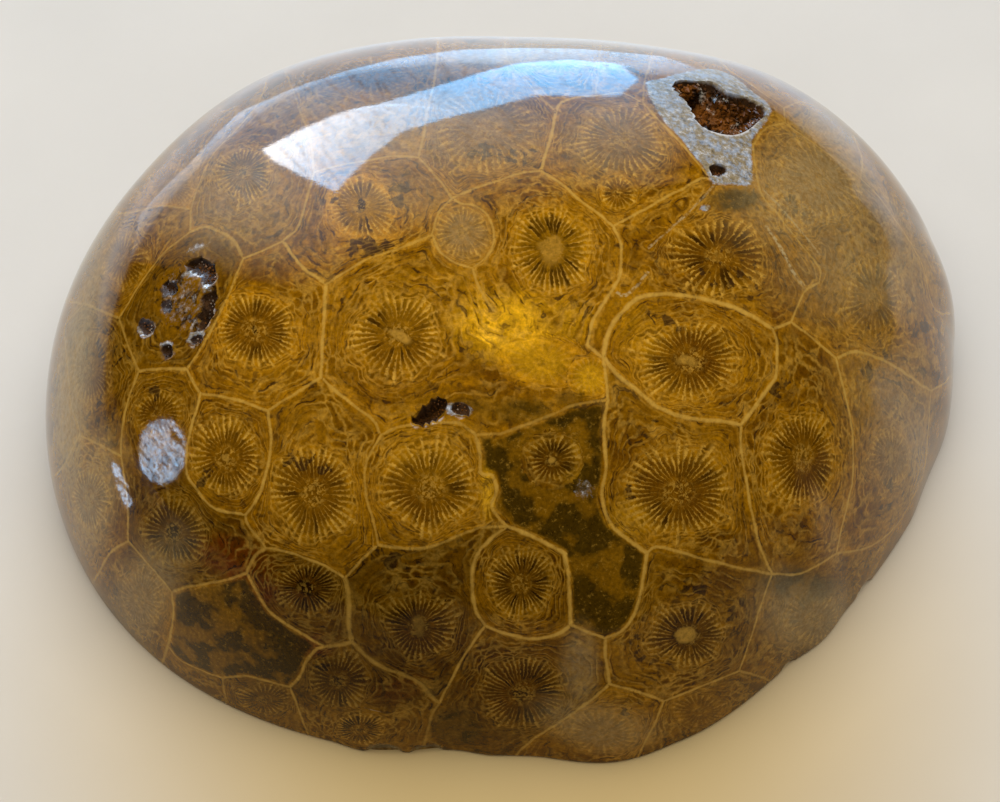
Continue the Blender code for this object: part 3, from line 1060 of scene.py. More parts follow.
class Cups:
    """Centres, local axes and make-up of every cup on the stone."""

    def __init__(self):
        self.centres, self.axes, self.looks, self.tones, self.cores = [], [], [], [], []
        self.makes = []
        self.buds, self.seeded = [], []

    def add(self, centre, across, up, calice, seed, seeded):
        """Takes in a cup by its centre and the two radii of its ring, as vectors."""
        pair = np.stack((across, up), axis=-1)
        ring_mm = (np.linalg.norm(across) + np.linalg.norm(up)) / 2.0 / MM
        self.centres.append(centre)
        self.axes.append(np.linalg.pinv(pair))
        self.looks.append((ring_mm, calice.septa, seed))
        self.tones.append((calice.gaps, calice.gold, calice.strength))
        self.makes.append((calice.bubbles, calice.clear, calice.shade))
        long, short, turn = calice.core
        angle = math.radians(turn)
        self.cores.append((
            (math.cos(angle) / long, math.sin(angle) / long),
            (-math.sin(angle) / short, math.cos(angle) / short),
            calice.tone,
        ))
        self.buds.append(calice.bud)
        self.seeded.append(seeded)

    def finish(self):
        """Turns the lists into arrays."""
        self.centres = np.array(self.centres)
        self.axes = np.array(self.axes)
        self.looks = np.array(self.looks, float)
        self.tones = np.array(self.tones)
        self.makes = np.array(self.makes)
        self.core_long = np.array([core[0] for core in self.cores])
        self.core_short = np.array([core[1] for core in self.cores])
        self.core_tone = np.array([core[2] for core in self.cores])
        self.buds = np.array(self.buds)
        self.seeded = np.array(self.seeded)


def seeded_calice(dice):
    """A cup of average make-up for where the pattern isn't drawn."""
    tone = dice.choice((-0.8, -0.2, 0.6, 0.9))
    return Calice(
        0, 0, 1, 1, septa=int(dice.integers(*HIDDEN_SEPTA)), gaps=dice.uniform(0.3, 0.9),
        core=(dice.uniform(0.14, 0.3), dice.uniform(0.1, 0.22), dice.uniform(0.0, 180.0)),
        tone=float(tone), strength=dice.uniform(0.7, 1.0), gold=dice.uniform(0.1, 0.6),
        bubbles=dice.uniform(0.2, 0.9), shade=dice.uniform(0.0, 0.35),
    )


# How much the places of seeded cups stray from the farthest one, as a share of the spacing.
SCATTER_LOOSENESS = 0.15


def scatter(places, taken, spacing, dice):
    """Picks places one by one, each the farthest from all before it, down to a spacing."""
    gap = np.full(len(places), np.inf)
    for other in taken:
        gap = np.minimum(gap, np.linalg.norm(places - other, axis=1))
    gap = gap + dice.uniform(0.0, spacing * SCATTER_LOOSENESS, len(places))
    picked = []
    while True:
        index = int(np.argmax(gap))
        if gap[index] < spacing:
            return picked
        picked.append(places[index])
        gap = np.minimum(gap, np.linalg.norm(places - places[index], axis=1))


def divide(places, centres, labels):
    """For each place the nearest cup, the cup beyond the nearest edge, and how far that is."""
    spread = ((places[:, None] - centres[labels][None]) ** 2).sum(axis=2)
    nearest = np.argmin(spread, axis=1)
    own = spread[np.arange(len(places)), nearest]
    apart = np.linalg.norm(centres[labels][nearest][:, None] - centres[labels][None], axis=2)
    apart[apart == 0.0] = np.inf
    edge = (spread - own[:, None]) / (2.0 * apart)
    edge[np.arange(len(places)), nearest] = np.inf
    rival = np.argmin(edge, axis=1)
    return labels[nearest], labels[rival], edge.min(axis=1)


# A patch fades out at this many of its radii, and never reaches farther than the length.
PATCH_END = 1.35
PATCH_REACH = 0.02


def patches(points, sight_lines, spots):
    """How far each point lies in any of the soft patches, from 0 to 1."""
    amount = np.zeros(len(points))
    for x, y, across, up, turn, strength in spots:
        centre = sight_lines.place((x, y))
        angle = math.radians(turn)
        one = sight_lines.place((x + across * math.cos(angle), y - across * math.sin(angle)))
        two = sight_lines.place((x + up * math.sin(angle), y + up * math.cos(angle)))
        axes = np.linalg.pinv(np.stack((one - centre, two - centre), axis=-1))
        away = points - centre
        share = np.linalg.norm(away @ axes.T, axis=1)
        share[np.linalg.norm(away, axis=1) > PATCH_REACH] = np.inf
        fade = np.clip(PATCH_END - share, 0.0, 1.0)
        amount = np.maximum(amount, strength * fade * fade * (3.0 - 2.0 * fade))
    return amount


def outlined(points, sight_lines, pixels, softness):
    """How far each point lies inside an outline, from 0 to 1."""
    mouth, centre, axes = mouth_of(sight_lines, pixels)
    reach = np.linalg.norm(mouth - centre, axis=1).max() * 1.5
    near = np.linalg.norm(points - centre, axis=1) < reach
    amount = np.zeros(len(points))
    distance, _ = outline_distance((points[near] - centre) @ axes, (mouth - centre) @ axes)
    amount[near] = np.clip(0.5 + distance / softness / 2.0, 0.0, 1.0)
    return amount


def put(mesh, name, kind, domain, values):
    """Writes one mesh attribute."""
    layer = mesh.attributes.new(name, kind, domain)
    field = "value" if kind == "FLOAT" else "vector"
    layer.data.foreach_set(field, np.asarray(values, np.float32).ravel())


# A bud takes the stone within this many of its radii.
BUD_REACH = 1.35
# How far a seeded ring may be out of round.
SQUASH = (0.85, 1.15)


def draw_cups(mesh, triangles, skin_points, dome_faces, sight_lines):
    """Works out which cup each triangle belongs to and stores what the finish reads."""
    dice = np.random.default_rng(SEED)
    corners = skin_points[triangles]
    centres = corners.mean(axis=1)
    walls = WallRun(sight_lines)
    cups = Cups()
    for seed, calice in enumerate(CALICES):
        middle = sight_lines.place((calice.x, calice.y))
        left = sight_lines.place((calice.x - calice.across, calice.y))
        right = sight_lines.place((calice.x + calice.across, calice.y))
        top = sight_lines.place((calice.x, calice.y - calice.up))
        bottom = sight_lines.place((calice.x, calice.y + calice.up))
        cups.add(middle, (right - left) / 2.0, (top - bottom) / 2.0, calice, seed, False)

    dome = np.arange(dome_faces)
    first, second = neighbours_of(triangles[:dome_faces])
    region = regions_between(walls, centres[:dome_faces], (first, second))
    drawn = np.array(cups.centres)
    home = np.array([np.argmin(((centres[:dome_faces] - c) ** 2).sum(axis=1)) for c in drawn])
    sizes = np.bincount(region)
    lived_in = set(region[home].tolist())
    hidden_region = max((r for r in range(len(sizes)) if r not in lived_in), key=lambda r: sizes[r])
    hidden = region == hidden_region

    for seeded_faces, taken in ((dome[hidden], drawn), (np.arange(dome_faces, len(triangles)), ())):
        for middle in scatter(centres[seeded_faces], taken, HIDDEN_SPACING, dice):
            is_base = middle[2] < BASE_SLACK
            normal = np.array((0.0, 0.0, -1.0)) if is_base else outwards_at(middle)
            across, up = frame_at(normal)
            ring = dice.uniform(*HIDDEN_RING)
            squash = dice.uniform(*SQUASH)
            cups.add(
                middle, across * ring * squash, up * ring / squash, seeded_calice(dice),
                len(cups.centres), True,
            )
    cups.finish()

    label = np.zeros(len(triangles), int)
    far = np.zeros(len(triangles))
    count_drawn = len(CALICES)
    region_of_cup = region[home]
    everyone = np.arange(count_drawn)
    for number in np.unique(region):
        members = np.flatnonzero(region == number)
        if number == hidden_region:
            continue
        allowed = everyone[(region_of_cup == number) & ~cups.buds[:count_drawn]]
        if len(allowed) == 0:
            allowed = everyone[~cups.buds[:count_drawn]]
        spread = ((centres[members][:, None] - cups.centres[allowed][None]) ** 2).sum(axis=2)
        label[members] = allowed[np.argmin(spread, axis=1)]
    for bud in np.flatnonzero(cups.buds):
        away = centres[:dome_faces] - cups.centres[bud]
        share = np.linalg.norm(away @ cups.axes[bud].T, axis=1)
        near = (share < BUD_REACH) & (np.linalg.norm(away, axis=1) < HIDDEN_SPACING)
        label[:dome_faces][near & (region == region[home[bud]])] = bud

    index, face_far = walls.nearest(centres)
    wall = signed_distance(walls, index, corners)
    wall_look = walls.looks[index]
    _, far_points = walls.nearest(skin_points)
    rest = np.arange(len(triangles))
    for faces, on_base in ((dome[hidden], False), (rest[dome_faces:], True)):
        of_this = cups.seeded & ((cups.centres[:, 2] < BASE_SLACK) == on_base)
        labels = np.flatnonzero(of_this)
        own, rival, edge = divide(centres[faces], cups.centres, labels)
        label[faces] = own
        gap = cups.centres[rival] - cups.centres[own]
        apart = np.linalg.norm(gap, axis=1)
        halfway = (cups.centres[rival] + cups.centres[own]) / 2.0
        line = -((corners[faces] - halfway[:, None]) * (gap / apart[:, None])[:, None]).sum(axis=2)
        grown = (edge < face_far[faces]) | on_base
        wall[faces[grown]] = line[grown]
        wall_look[faces[grown]] = (FAR_WALL_WIDTH_MM, FAR_WALL_STRENGTH, 0.0)
        spots = np.unique(triangles[faces])
        _, _, point_edge = divide(skin_points[spots], cups.centres, labels)
        far_points[spots] = point_edge if on_base else np.minimum(far_points[spots], point_edge)

    away = corners - cups.centres[label][:, None]
    flat = np.einsum("fij,fcj->fci", cups.axes[label], away)
    put(mesh, "cup", "FLOAT_VECTOR", "CORNER", np.concatenate((flat, wall[..., None] / MM), axis=2))
    core = np.stack((
        np.einsum("fci,fi->fc", flat, cups.core_long[label]),
        np.einsum("fci,fi->fc", flat, cups.core_short[label]),
        np.repeat(cups.core_tone[label][:, None], 3, axis=1),
    ), axis=2)
    put(mesh, "core", "FLOAT_VECTOR", "CORNER", core)
    put(mesh, "cup_look", "FLOAT_VECTOR", "FACE", cups.looks[label])
    put(mesh, "cup_tone", "FLOAT_VECTOR", "FACE", cups.tones[label])
    put(mesh, "cup_make", "FLOAT_VECTOR", "FACE", cups.makes[label])
    put(mesh, "wall_look", "FLOAT_VECTOR", "FACE", wall_look)
    return far_points / MM


SHARP_ANGLE = math.radians(40.0)


def stone_mesh(sizes):
    """The stone as one closed mesh with its pattern stored on it.

    Also returns its points and triangles, how deep in a vug each point is, and the size of
    the crystals there.
    """
    points, triangles, dome_count, map_places, start_of_base = stone_net(
        sizes.rings, sizes.rim_round
    )
    bruised = nip_rim(points)
    sight_lines = Sight(points, triangles)
    smooth_points = points.copy()
    lining, grain_size = open_vugs(points, dome_count, sight_lines)
    mesh = bpy.data.meshes.new("coral_stone")
    mesh.from_pydata(points.tolist(), [], triangles.tolist())
    above_base = triangles.min(axis=1) < start_of_base
    dome_faces = int(above_base.sum())
    if not above_base[:dome_faces].all():
        raise RuntimeError("the base's triangles must come last")
    far_mm = draw_cups(mesh, triangles, smooth_points, dome_faces, sight_lines)
    on_dome = np.arange(len(points)) < start_of_base
    # Of these patches the glow is painted light, and the pale and silver ones hold painted
    # reflection besides the stone's own colour.
    stain, red, clear, glow, silver, pale, shade = (
        patches(smooth_points, sight_lines, spots) * on_dome
        for spots in (STAINS, REDS, CLEARS, PAINTED_GLOWS, SILVERS, PALES_AND_SHEENS, SHADES)
    )
    silver = np.maximum(silver, outlined(smooth_points, sight_lines, QUARTZ, QUARTZ_SOFTNESS))
    pale = np.maximum(pale, bruised)
    put(mesh, "depths", "FLOAT_VECTOR", "POINT", np.stack((far_mm, stain, red), axis=1))
    put(mesh, "clouds", "FLOAT_VECTOR", "POINT", np.stack((clear, glow, silver), axis=1))
    put(mesh, "hollows", "FLOAT_VECTOR", "POINT", np.stack((lining, pale, shade), axis=1))
    bake_map = mesh.uv_layers.new(name="OFBake")
    bake_map.data.foreach_set("uv", map_places[triangles].astype(np.float32).ravel())
    slots = np.zeros(len(triangles), np.int32)
    slots[dome_faces:] = 1
    mesh.polygons.foreach_set("material_index", slots)
    mesh.shade_smooth()
    mesh.set_sharp_from_angle(angle=SHARP_ANGLE)
    mesh.validate()
    return mesh, points, triangles, lining, grain_size


# ---------------------------------------------------------------------------------------
# Finishes.

class Kind(NamedTuple):
    """A kind of node: its type and settings, the inputs that are given, and the output used."""

    node: str
    settings: dict = {}
    inputs: tuple = range(5)
    output: int = 0


ADD, TIMES, OVER, MINUS, TIMES_PLUS, MOST, UNSIGNED, ROUND, FLOOR, MODULO, PINGPONG, POWER, TURN = (
    Kind("ShaderNodeMath", {"operation": operation})
    for operation in (
        "ADD", "MULTIPLY", "DIVIDE", "SUBTRACT", "MULTIPLY_ADD", "MAXIMUM", "ABSOLUTE", "ROUND",
        "FLOOR", "FLOORED_MODULO", "PINGPONG", "POWER", "ARCTAN2",
    )
)
SHIFT, LESS, STRETCH, UNIT = (
    Kind("ShaderNodeVectorMath", {"operation": operation})
    for operation in ("ADD", "SUBTRACT", "MULTIPLY", "NORMALIZE")
)
SCALE = Kind("ShaderNodeVectorMath", {"operation": "SCALE"}, inputs=(0, 3))
LENGTH = Kind("ShaderNodeVectorMath", {"operation": "LENGTH"}, output=1)
DISTANCE = Kind("ShaderNodeVectorMath", {"operation": "DISTANCE"}, output=1)
# Value, from least, from most, to least, to most: in a straight line, or eased at both ends.
RANGE = Kind("ShaderNodeMapRange")
FADE = Kind("ShaderNodeMapRange", {"interpolation_type": "SMOOTHSTEP"})
# Share, then the two values or colours that it blends.
MIX = Kind("ShaderNodeMix", inputs=(0, 2, 3))
BLEND = Kind("ShaderNodeMix", {"data_type": "RGBA"}, inputs=(0, 6, 7), output=2)
NOISE = Kind("ShaderNodeTexNoise")
NOISE_COLOUR = Kind("ShaderNodeTexNoise", output=1)
RANDOM = Kind("ShaderNodeTexWhiteNoise", {"noise_dimensions": "1D"}, output=1)
BLISTERS = Kind("ShaderNodeTexVoronoi", {"feature": "DISTANCE_TO_EDGE"})
PLACE = Kind("ShaderNodeTexCoord", output=3)
PARTS = Kind("ShaderNodeSeparateXYZ")
UPRIGHT = Kind("ShaderNodeCombineXYZ", inputs=(2,))
ROTATE = Kind("ShaderNodeVectorRotate", {"rotation_type": "Z_AXIS"})
BUMP = Kind("ShaderNodeBump")
LIGHT_PATH = Kind("ShaderNodeLightPath")
EMISSION = Kind("ShaderNodeEmission")
TRANSPARENT = Kind("ShaderNodeBsdfTransparent")
ADD_SHADER = Kind("ShaderNodeAddShader")


def fill(node, given):
    """Links or sets the given inputs of a node."""
    for key, value in given.items():
        socket = node.inputs[key]
        if isinstance(value, bpy.types.NodeSocket):
            node.id_data.links.new(value, socket)
        elif socket.type == "RGBA":
            socket.default_value = (*value, 1.0)
        else:
            socket.default_value = value


def add_node(tree, kind, *values, **named):
    """Adds a node of a kind, fills its inputs in order or by name, and returns its output."""
    made = tree.nodes.new(kind.node)
    for key, value in kind.settings.items():
        setattr(made, key, value)
    fill(made, dict(zip(kind.inputs, values)) | named)
    return made.outputs[kind.output]


def chain(add, kind, first, *others):
    """Joins many values by one kind of node after another."""
    for other in others:
        first = add(kind, first, other)
    return first


def new_finish(name):
    """A new material, its surface, and the way to add nodes to it."""
    finish = bpy.data.materials.new(name)
    finish.use_nodes = True
    tree = finish.node_tree
    return finish, tree.nodes.get("Principled BSDF"), partial(add_node, tree)


def object_mm(add):
    """Place on the piece, in millimetres."""
    return add(SCALE, add(PLACE), 1.0 / MM)


def stored(add, name):
    """A vector stored on the mesh."""
    return add(Kind("ShaderNodeAttribute", {"attribute_name": name}, output=1))


def parts(add, vector):
    """The three parts of a vector."""
    return add(PARTS, vector).node.outputs


def coral_pattern(add, colours, sizes):
    """Colour of the cut coral: septa and blister plates on honey calcite, between walls."""
    place = object_mm(add)
    cup = stored(add, "cup")
    ring_mm, long_septa, seed = parts(add, stored(add, "cup_look"))
    gaps, gold_amount, strength = parts(add, stored(add, "cup_tone"))
    bubbles, clear, cell_shade = parts(add, stored(add, "cup_make"))
    core = stored(add, "core")
    _, _, knot_tone = parts(add, core)
    wall_width, wall_strength, is_seam = parts(add, stored(add, "wall_look"))
    far_mm, stain, red = parts(add, stored(add, "depths"))
    clear_patch, glow, _ = parts(add, stored(add, "clouds"))
    _, _, shade_patch = parts(add, stored(add, "hollows"))

    # Nothing grown is quite straight: everything is drawn on a slightly shaken map.
    shake = add(NOISE_COLOUR, Vector=place, Scale=0.45, Detail=3.0)
    shake = add(LESS, shake, (0.5, 0.5, 0.5))
    cup_shake = add(STRETCH, shake, (0.16, 0.16, 0.34))
    cup = add(SHIFT, cup, cup_shake)
    u, v, wall_mm = parts(add, cup)
    grain = add(NOISE, Vector=place, Scale=2.2, Detail=3.0, Roughness=0.65)
    quick = add(NOISE, Vector=place, Scale=0.75, Detail=4.0, Roughness=0.6)
    slow = add(NOISE, Vector=place, Scale=0.13, Detail=3.0)

    flat = add(STRETCH, cup, (1.0, 1.0, 0.0))
    rho = add(LENGTH, flat)
    lumpy = add(NOISE, Vector=place, Scale=0.24, Detail=2.0)
    lumpy = add(RANGE, lumpy, 0.3, 0.7, 0.84, 1.16)
    rho = add(TIMES, rho, lumpy)
    way = add(UNIT, flat)
    from_centre_mm = add(TIMES, rho, ring_mm)
    turn = add(TURN, v, u)
    count = add(TIMES, long_septa, 2.0)
    per_radian = add(OVER, count, math.tau)
    phase = add(TIMES, turn, per_radian)
    phase = add(TIMES_PLUS, grain, 0.95, phase)
    own_seed = add(TIMES, seed, 57.3)

    # Septa: long and short by turns, each with its own ends and paleness.
    number = add(ROUND, phase)
    off_line = add(MINUS, phase, number)
    off_line = add(UNSIGNED, off_line)
    number = add(MODULO, number, count)
    is_short = add(MODULO, number, 2.0)
    lot = add(ADD, number, own_seed)
    chance = add(RANDOM, W=lot)
    ends, paleness, finish = parts(add, chance)
    start = add(TIMES_PLUS, is_short, 0.17, 0.2)
    start = add(TIMES_PLUS, ends, 0.12, start)
    started = add(MINUS, rho, start)
    started = add(FADE, started, 0.0, 0.08, 0.0, 1.0)
    finish = add(TIMES_PLUS, finish, 0.26, 0.94)
    finished = add(MINUS, rho, finish)
    finished = add(FADE, finished, -0.1, 0.1, 1.0, 0.0)
    wedge = add(RANGE, rho, 0.4, 0.95, sizes.septum * 0.28, sizes.septum * 0.76)
    wedge = add(OVER, off_line, wedge)
    septum = add(FADE, wedge, 0.3, 1.25, 1.0, 0.0)
    septum = add(TIMES, septum, started)
    frayed = add(FADE, grain, 0.36, 0.58, 0.5, 1.1)
    septum = chain(add, TIMES, septum, frayed, finished)
    paleness = add(TIMES_PLUS, paleness, 0.35, -0.05)
    paleness = add(TIMES_PLUS, quick, 0.9, paleness)
    further_out = add(RANGE, rho, 0.4, 0.85, 0.42, 1.15)
    paleness = add(TIMES, paleness, further_out)
    septum = chain(add, TIMES, septum, paleness, strength)

    # Gaps between them: brown, and some near black.
    gap_number = add(FLOOR, phase)
    gap_number = add(MODULO, gap_number, count)
    lot = add(ADD, gap_number, own_seed)
    lot = add(ADD, lot, 0.5)
    chance = add(RANDOM, W=lot)
    chances, gap_ends, _ = parts(add, chance)
    dark = add(TIMES_PLUS, gaps, 0.7, chances)
    dark = add(TIMES_PLUS, slow, 2.0, dark)
    dark = add(TIMES_PLUS, quick, 1.2, dark)
    dark = add(FADE, dark, 2.5, 3.4, 0.06, 0.85)
    inner = add(FADE, rho, 0.22, 0.5, 0.0, 1.0)
    gap_end = add(TIMES_PLUS, gap_ends, 0.25, 0.72)
    outer = add(MINUS, rho, gap_end)
    outer = add(FADE, outer, -0.1, 0.12, 1.0, 0.0)
    dark = chain(add, TIMES, dark, inner, outer, strength)

    # Rungs tie the septa together round the ring, with pores left between them.
    rung = add(TIMES, chances, 5.0)
    rung = add(TIMES_PLUS, from_centre_mm, 1.0 / 0.28, rung)
    rung = add(PINGPONG, rung, 1.0)
    rung = add(FADE, rung, 0.15, 0.6, 1.0, 0.0)
    near_ring = add(FADE, rho, 0.86, 1.0, 0.0, 1.0)
    past_ring = add(FADE, rho, 1.06, 1.26, 1.0, 0.0)
    by_ring = add(TIMES, near_ring, past_ring)
    by_ring = add(TIMES, by_ring, strength)
    pore = add(TIMES_PLUS, rung, -1.0, 1.0)
    pore = add(TIMES, pore, by_ring)
    pored = add(ADD, quick, gap_ends)
    pored = add(FADE, pored, 0.8, 1.4, 0.0, 0.55)
    pore = add(TIMES, pore, pored)
    dark = add(MOST, dark, pore)
    rung = add(TIMES, rung, by_ring)

    # Blisters run round the cup, following the ring inside and the wall outside.
    beyond = add(MINUS, rho, 1.05)
    beyond = add(TIMES, beyond, ring_mm)
    beyond = add(MOST, beyond, 0.0)
    whole = add(ADD, beyond, far_mm)
    whole = add(ADD, whole, 0.02)
    share = add(OVER, beyond, whole)
    from_wall = add(MINUS, 4.0, far_mm)
    band = add(MIX, share, beyond, from_wall)
    reach = add(TIMES, ring_mm, 1.3 * MM / sizes.blister)
    around = add(SCALE, way, reach)
    height = add(TIMES_PLUS, band, MM / sizes.dissepiments, own_seed)
    height = add(UPRIGHT, height)
    around = add(SHIFT, around, height)
    wobble = add(SCALE, shake, 1.6)
    around = add(SHIFT, around, wobble)
    blister = add(BLISTERS, Vector=around, Scale=1.0, Randomness=0.9)
    plate = add(FADE, blister, 0.0, 0.2, 1.0, 0.0)
    # Hollow darkens the blisters, partly as the calcite's own fill and partly as painted relief
    # shade.
    hollow = add(FADE, blister, 0.02, 0.42, 0.0, 1.0)

    # Elsewhere the plates are long and close, one above the other.
    ripple = add(NOISE, Vector=around, Scale=0.45, Detail=2.0)
    long_plate = add(TIMES, band, MM / sizes.dissepiments)
    long_plate = add(TIMES_PLUS, ripple, 3.0, long_plate)
    # Under is a painted shadow beneath each long plate.
    under = add(ADD, long_plate, 0.22)
    long_plate = add(PINGPONG, long_plate, 0.5)
    long_plate = add(FADE, long_plate, 0.0, 0.24, 0.8, 0.0)
    under = add(PINGPONG, under, 0.5)
    under = add(FADE, under, 0.0, 0.28, 1.0, 0.0)
    kind = add(NOISE, Vector=place, Scale=0.16, Detail=2.0)
    kind = add(FADE, kind, 0.46, 0.6, 0.0, 1.0)
    plate = add(MIX, kind, plate, long_plate)
    hollow = add(MIX, kind, hollow, under)
    faint = add(NOISE, Vector=place, Scale=0.28, Detail=3.0)
    faint = add(FADE, faint, 0.38, 0.6, 0.35, 1.0)
    outside = add(FADE, rho, 1.0, 1.22, 0.0, 1.0)
    plate = chain(add, TIMES, plate, outside, faint)
    hollow = chain(add, TIMES, hollow, outside, faint)
    bubbly = add(TIMES_PLUS, bubbles, 0.7, 0.4)
    hollow = add(TIMES, hollow, bubbly)

    # Walls between the corallites, thick and thin along their run.
    off_wall = add(UNSIGNED, wall_mm)
    uneven = add(TIMES_PLUS, quick, 1.4, 0.3)
    uneven = add(TIMES, wall_width, uneven)
    off_wall = add(OVER, off_wall, uneven)
    wall = add(FADE, off_wall, 0.12, 0.66, 1.0, 0.0)
    worn = add(RANGE, quick, 0.35, 0.65, 0.55, 0.95)
    wall = add(TIMES, wall, worn)
    broken = add(FADE, grain, 0.4, 0.54, 0.1, 1.0)
    unbroken = add(TIMES_PLUS, is_seam, -1.0, 1.0)
    broken = add(MOST, broken, unbroken)
    wall = chain(add, TIMES, wall, broken, wall_strength)
    beside_wall = add(FADE, far_mm, 0.2, 1.1, 1.0, 0.0)

    # Slow and quick changes of the honey colour.
    tint = add(RANGE, slow, 0.3, 0.6, 0.0, 1.0)
    colour = add(BLEND, tint, colours.deep, colours.body)
    tint = add(FADE, quick, 0.42, 0.7, 0.0, 0.6)
    colour = add(BLEND, tint, colour, colours.gold)
    inside = add(FADE, rho, 0.62, 0.92, 0.52, 0.0)
    inside = add(TIMES, inside, strength)
    colour = add(BLEND, inside, colour, colours.deep)
    golden = add(FADE, rho, 0.78, 1.02, 0.0, 1.0)
    past = add(FADE, rho, 1.1, 1.5, 1.0, 0.0)
    golden = chain(add, TIMES, golden, past, gold_amount)
    golden = add(TIMES_PLUS, beside_wall, 0.35, golden)
    colour = add(BLEND, golden, colour, colours.gold)
    # Painted light: the glow patches turn the colour gold where light gathers inside the stone.
    painted_glow = add(POWER, glow, 1.5)
    colour = add(BLEND, painted_glow, colour, colours.glow)
    rusty = add(TIMES, red, quick)
    rusty = add(FADE, rusty, 0.05, 0.55, 0.0, 0.95)
    colour = add(BLEND, rusty, colour, colours.red)
    streak = add(STRETCH, around, (0.8, 0.8, 2.4))
    streak = add(NOISE, Vector=streak, Scale=1.1, Detail=3.0)
    fleck = add(FADE, streak, 0.61, 0.68, 0.0, 0.8)
    fleck = add(TIMES, fleck, outside)
    streak = add(FADE, streak, 0.4, 0.66, 0.0, 0.55)
    streak = add(TIMES, streak, outside)
    # The hollows' painted relief shade and the streaks darken the colour towards deep.
    hollow = add(MOST, hollow, streak)
    colour = add(BLEND, hollow, colour, colours.deep)
    colour = add(BLEND, dark, colour, colours.gap)

    # Stains sit in blots, under the plates.
    blot = add(NOISE, Vector=place, Scale=0.85, Detail=2.0, Distortion=0.6)
    blot = add(RANGE, blot, 0.34, 0.66, 0.0, 1.0)
    blot = add(TIMES_PLUS, stain, 0.8, blot)
    blot = add(TIMES_PLUS, outside, 0.16, blot)
    blot = add(FADE, blot, 0.98, 1.3, 0.0, 0.85)
    blot = add(MOST, blot, fleck)
    colour = add(BLEND, blot, colour, colours.stain)

    # The middle of the cup: a muddle of fine threads, and the knot.
    muddle = add(FADE, rho, 0.24, 0.42, 1.0, 0.0)
    muddle = add(TIMES, muddle, strength)
    threads = add(NOISE, Vector=place, Scale=2.6, Detail=2.0, Distortion=0.8)
    threads = add(FADE, threads, 0.46, 0.6, 0.0, 0.45)
    threads = add(TIMES, threads, muddle)
    core_shake = add(STRETCH, shake, (2.2, 2.2, 0.0))
    knot = add(SHIFT, core, core_shake)
    knot = add(STRETCH, knot, (1.0, 1.0, 0.0))
    knot = add(LENGTH, knot)
    knot = add(TIMES_PLUS, grain, 1.2, knot)
    eye = add(FADE, knot, 1.3, 1.9, 1.0, 0.0)
    moat = add(FADE, knot, 1.6, 2.6, 0.6, 0.0)
    darkness = add(TIMES, knot_tone, -1.0)
    darkness = add(MOST, darkness, 0.0)
    darkness = add(TIMES, darkness, eye)
    light = add(MOST, knot_tone, 0.0)
    moat = add(TIMES, moat, light)
    darkness = add(MOST, darkness, moat)
    darkness = add(TIMES, darkness, strength)
    light = chain(add, TIMES, light, eye, strength)
    colour = add(BLEND, darkness, colour, colours.gap)

    # Plates, rungs and septa.
    lines = add(TIMES, plate, 0.46)
    rung = add(TIMES, rung, 0.3)
    lines = chain(add, MOST, lines, rung, septum, threads)
    light = add(TIMES, light, 0.75)
    lines = add(MOST, lines, light)
    stained = add(TIMES_PLUS, blot, -0.6, 1.0)
    stained = add(TIMES_PLUS, cell_shade, 0.9, stained)
    lines = add(TIMES, lines, stained)
    colour = add(BLEND, lines, colour, colours.line)

    # Clear calcite: dark olive, with honey clouds and pale specks in it.
    inward = add(FADE, far_mm, 0.1, 0.9, 0.35, 1.0)
    clear = add(TIMES, clear, inward)
    clear = add(MOST, clear, clear_patch)
    window = add(TIMES_PLUS, quick, 0.7, clear)
    window = add(FADE, window, 0.55, 1.15, 0.0, 0.92)
    cloud = add(RANGE, faint, 0.7, 1.0, 0.0, 0.6)
    clear_colour = add(BLEND, cloud, colours.clear, colours.body)
    speck = add(NOISE, Vector=place, Scale=1.6, Detail=3.0, Roughness=0.8)
    speck = add(FADE, speck, 0.54, 0.74, 0.0, 0.4)
    clear_colour = add(BLEND, speck, clear_colour, colours.line)
    colour = add(BLEND, window, colour, clear_colour)

    shade = add(ADD, cell_shade, shade_patch)
    shade = add(TIMES_PLUS, shade, -0.74, 1.0)
    shade = add(MOST, shade, 0.34)
    wall_colour = add(BLEND, is_seam, colours.wall, colours.pale)
    wall_shade = add(RANGE, shade, 0.4, 1.0, 0.72, 1.0)
    wall_colour = add(SCALE, wall_colour, wall_shade)
    grainy = add(RANGE, grain, 0.3, 0.7, 0.66, 1.34)
    shade = add(TIMES, shade, grainy)
    colour = add(SCALE, colour, shade)
    colour = add(BLEND, wall, colour, wall_colour)
    return colour, place


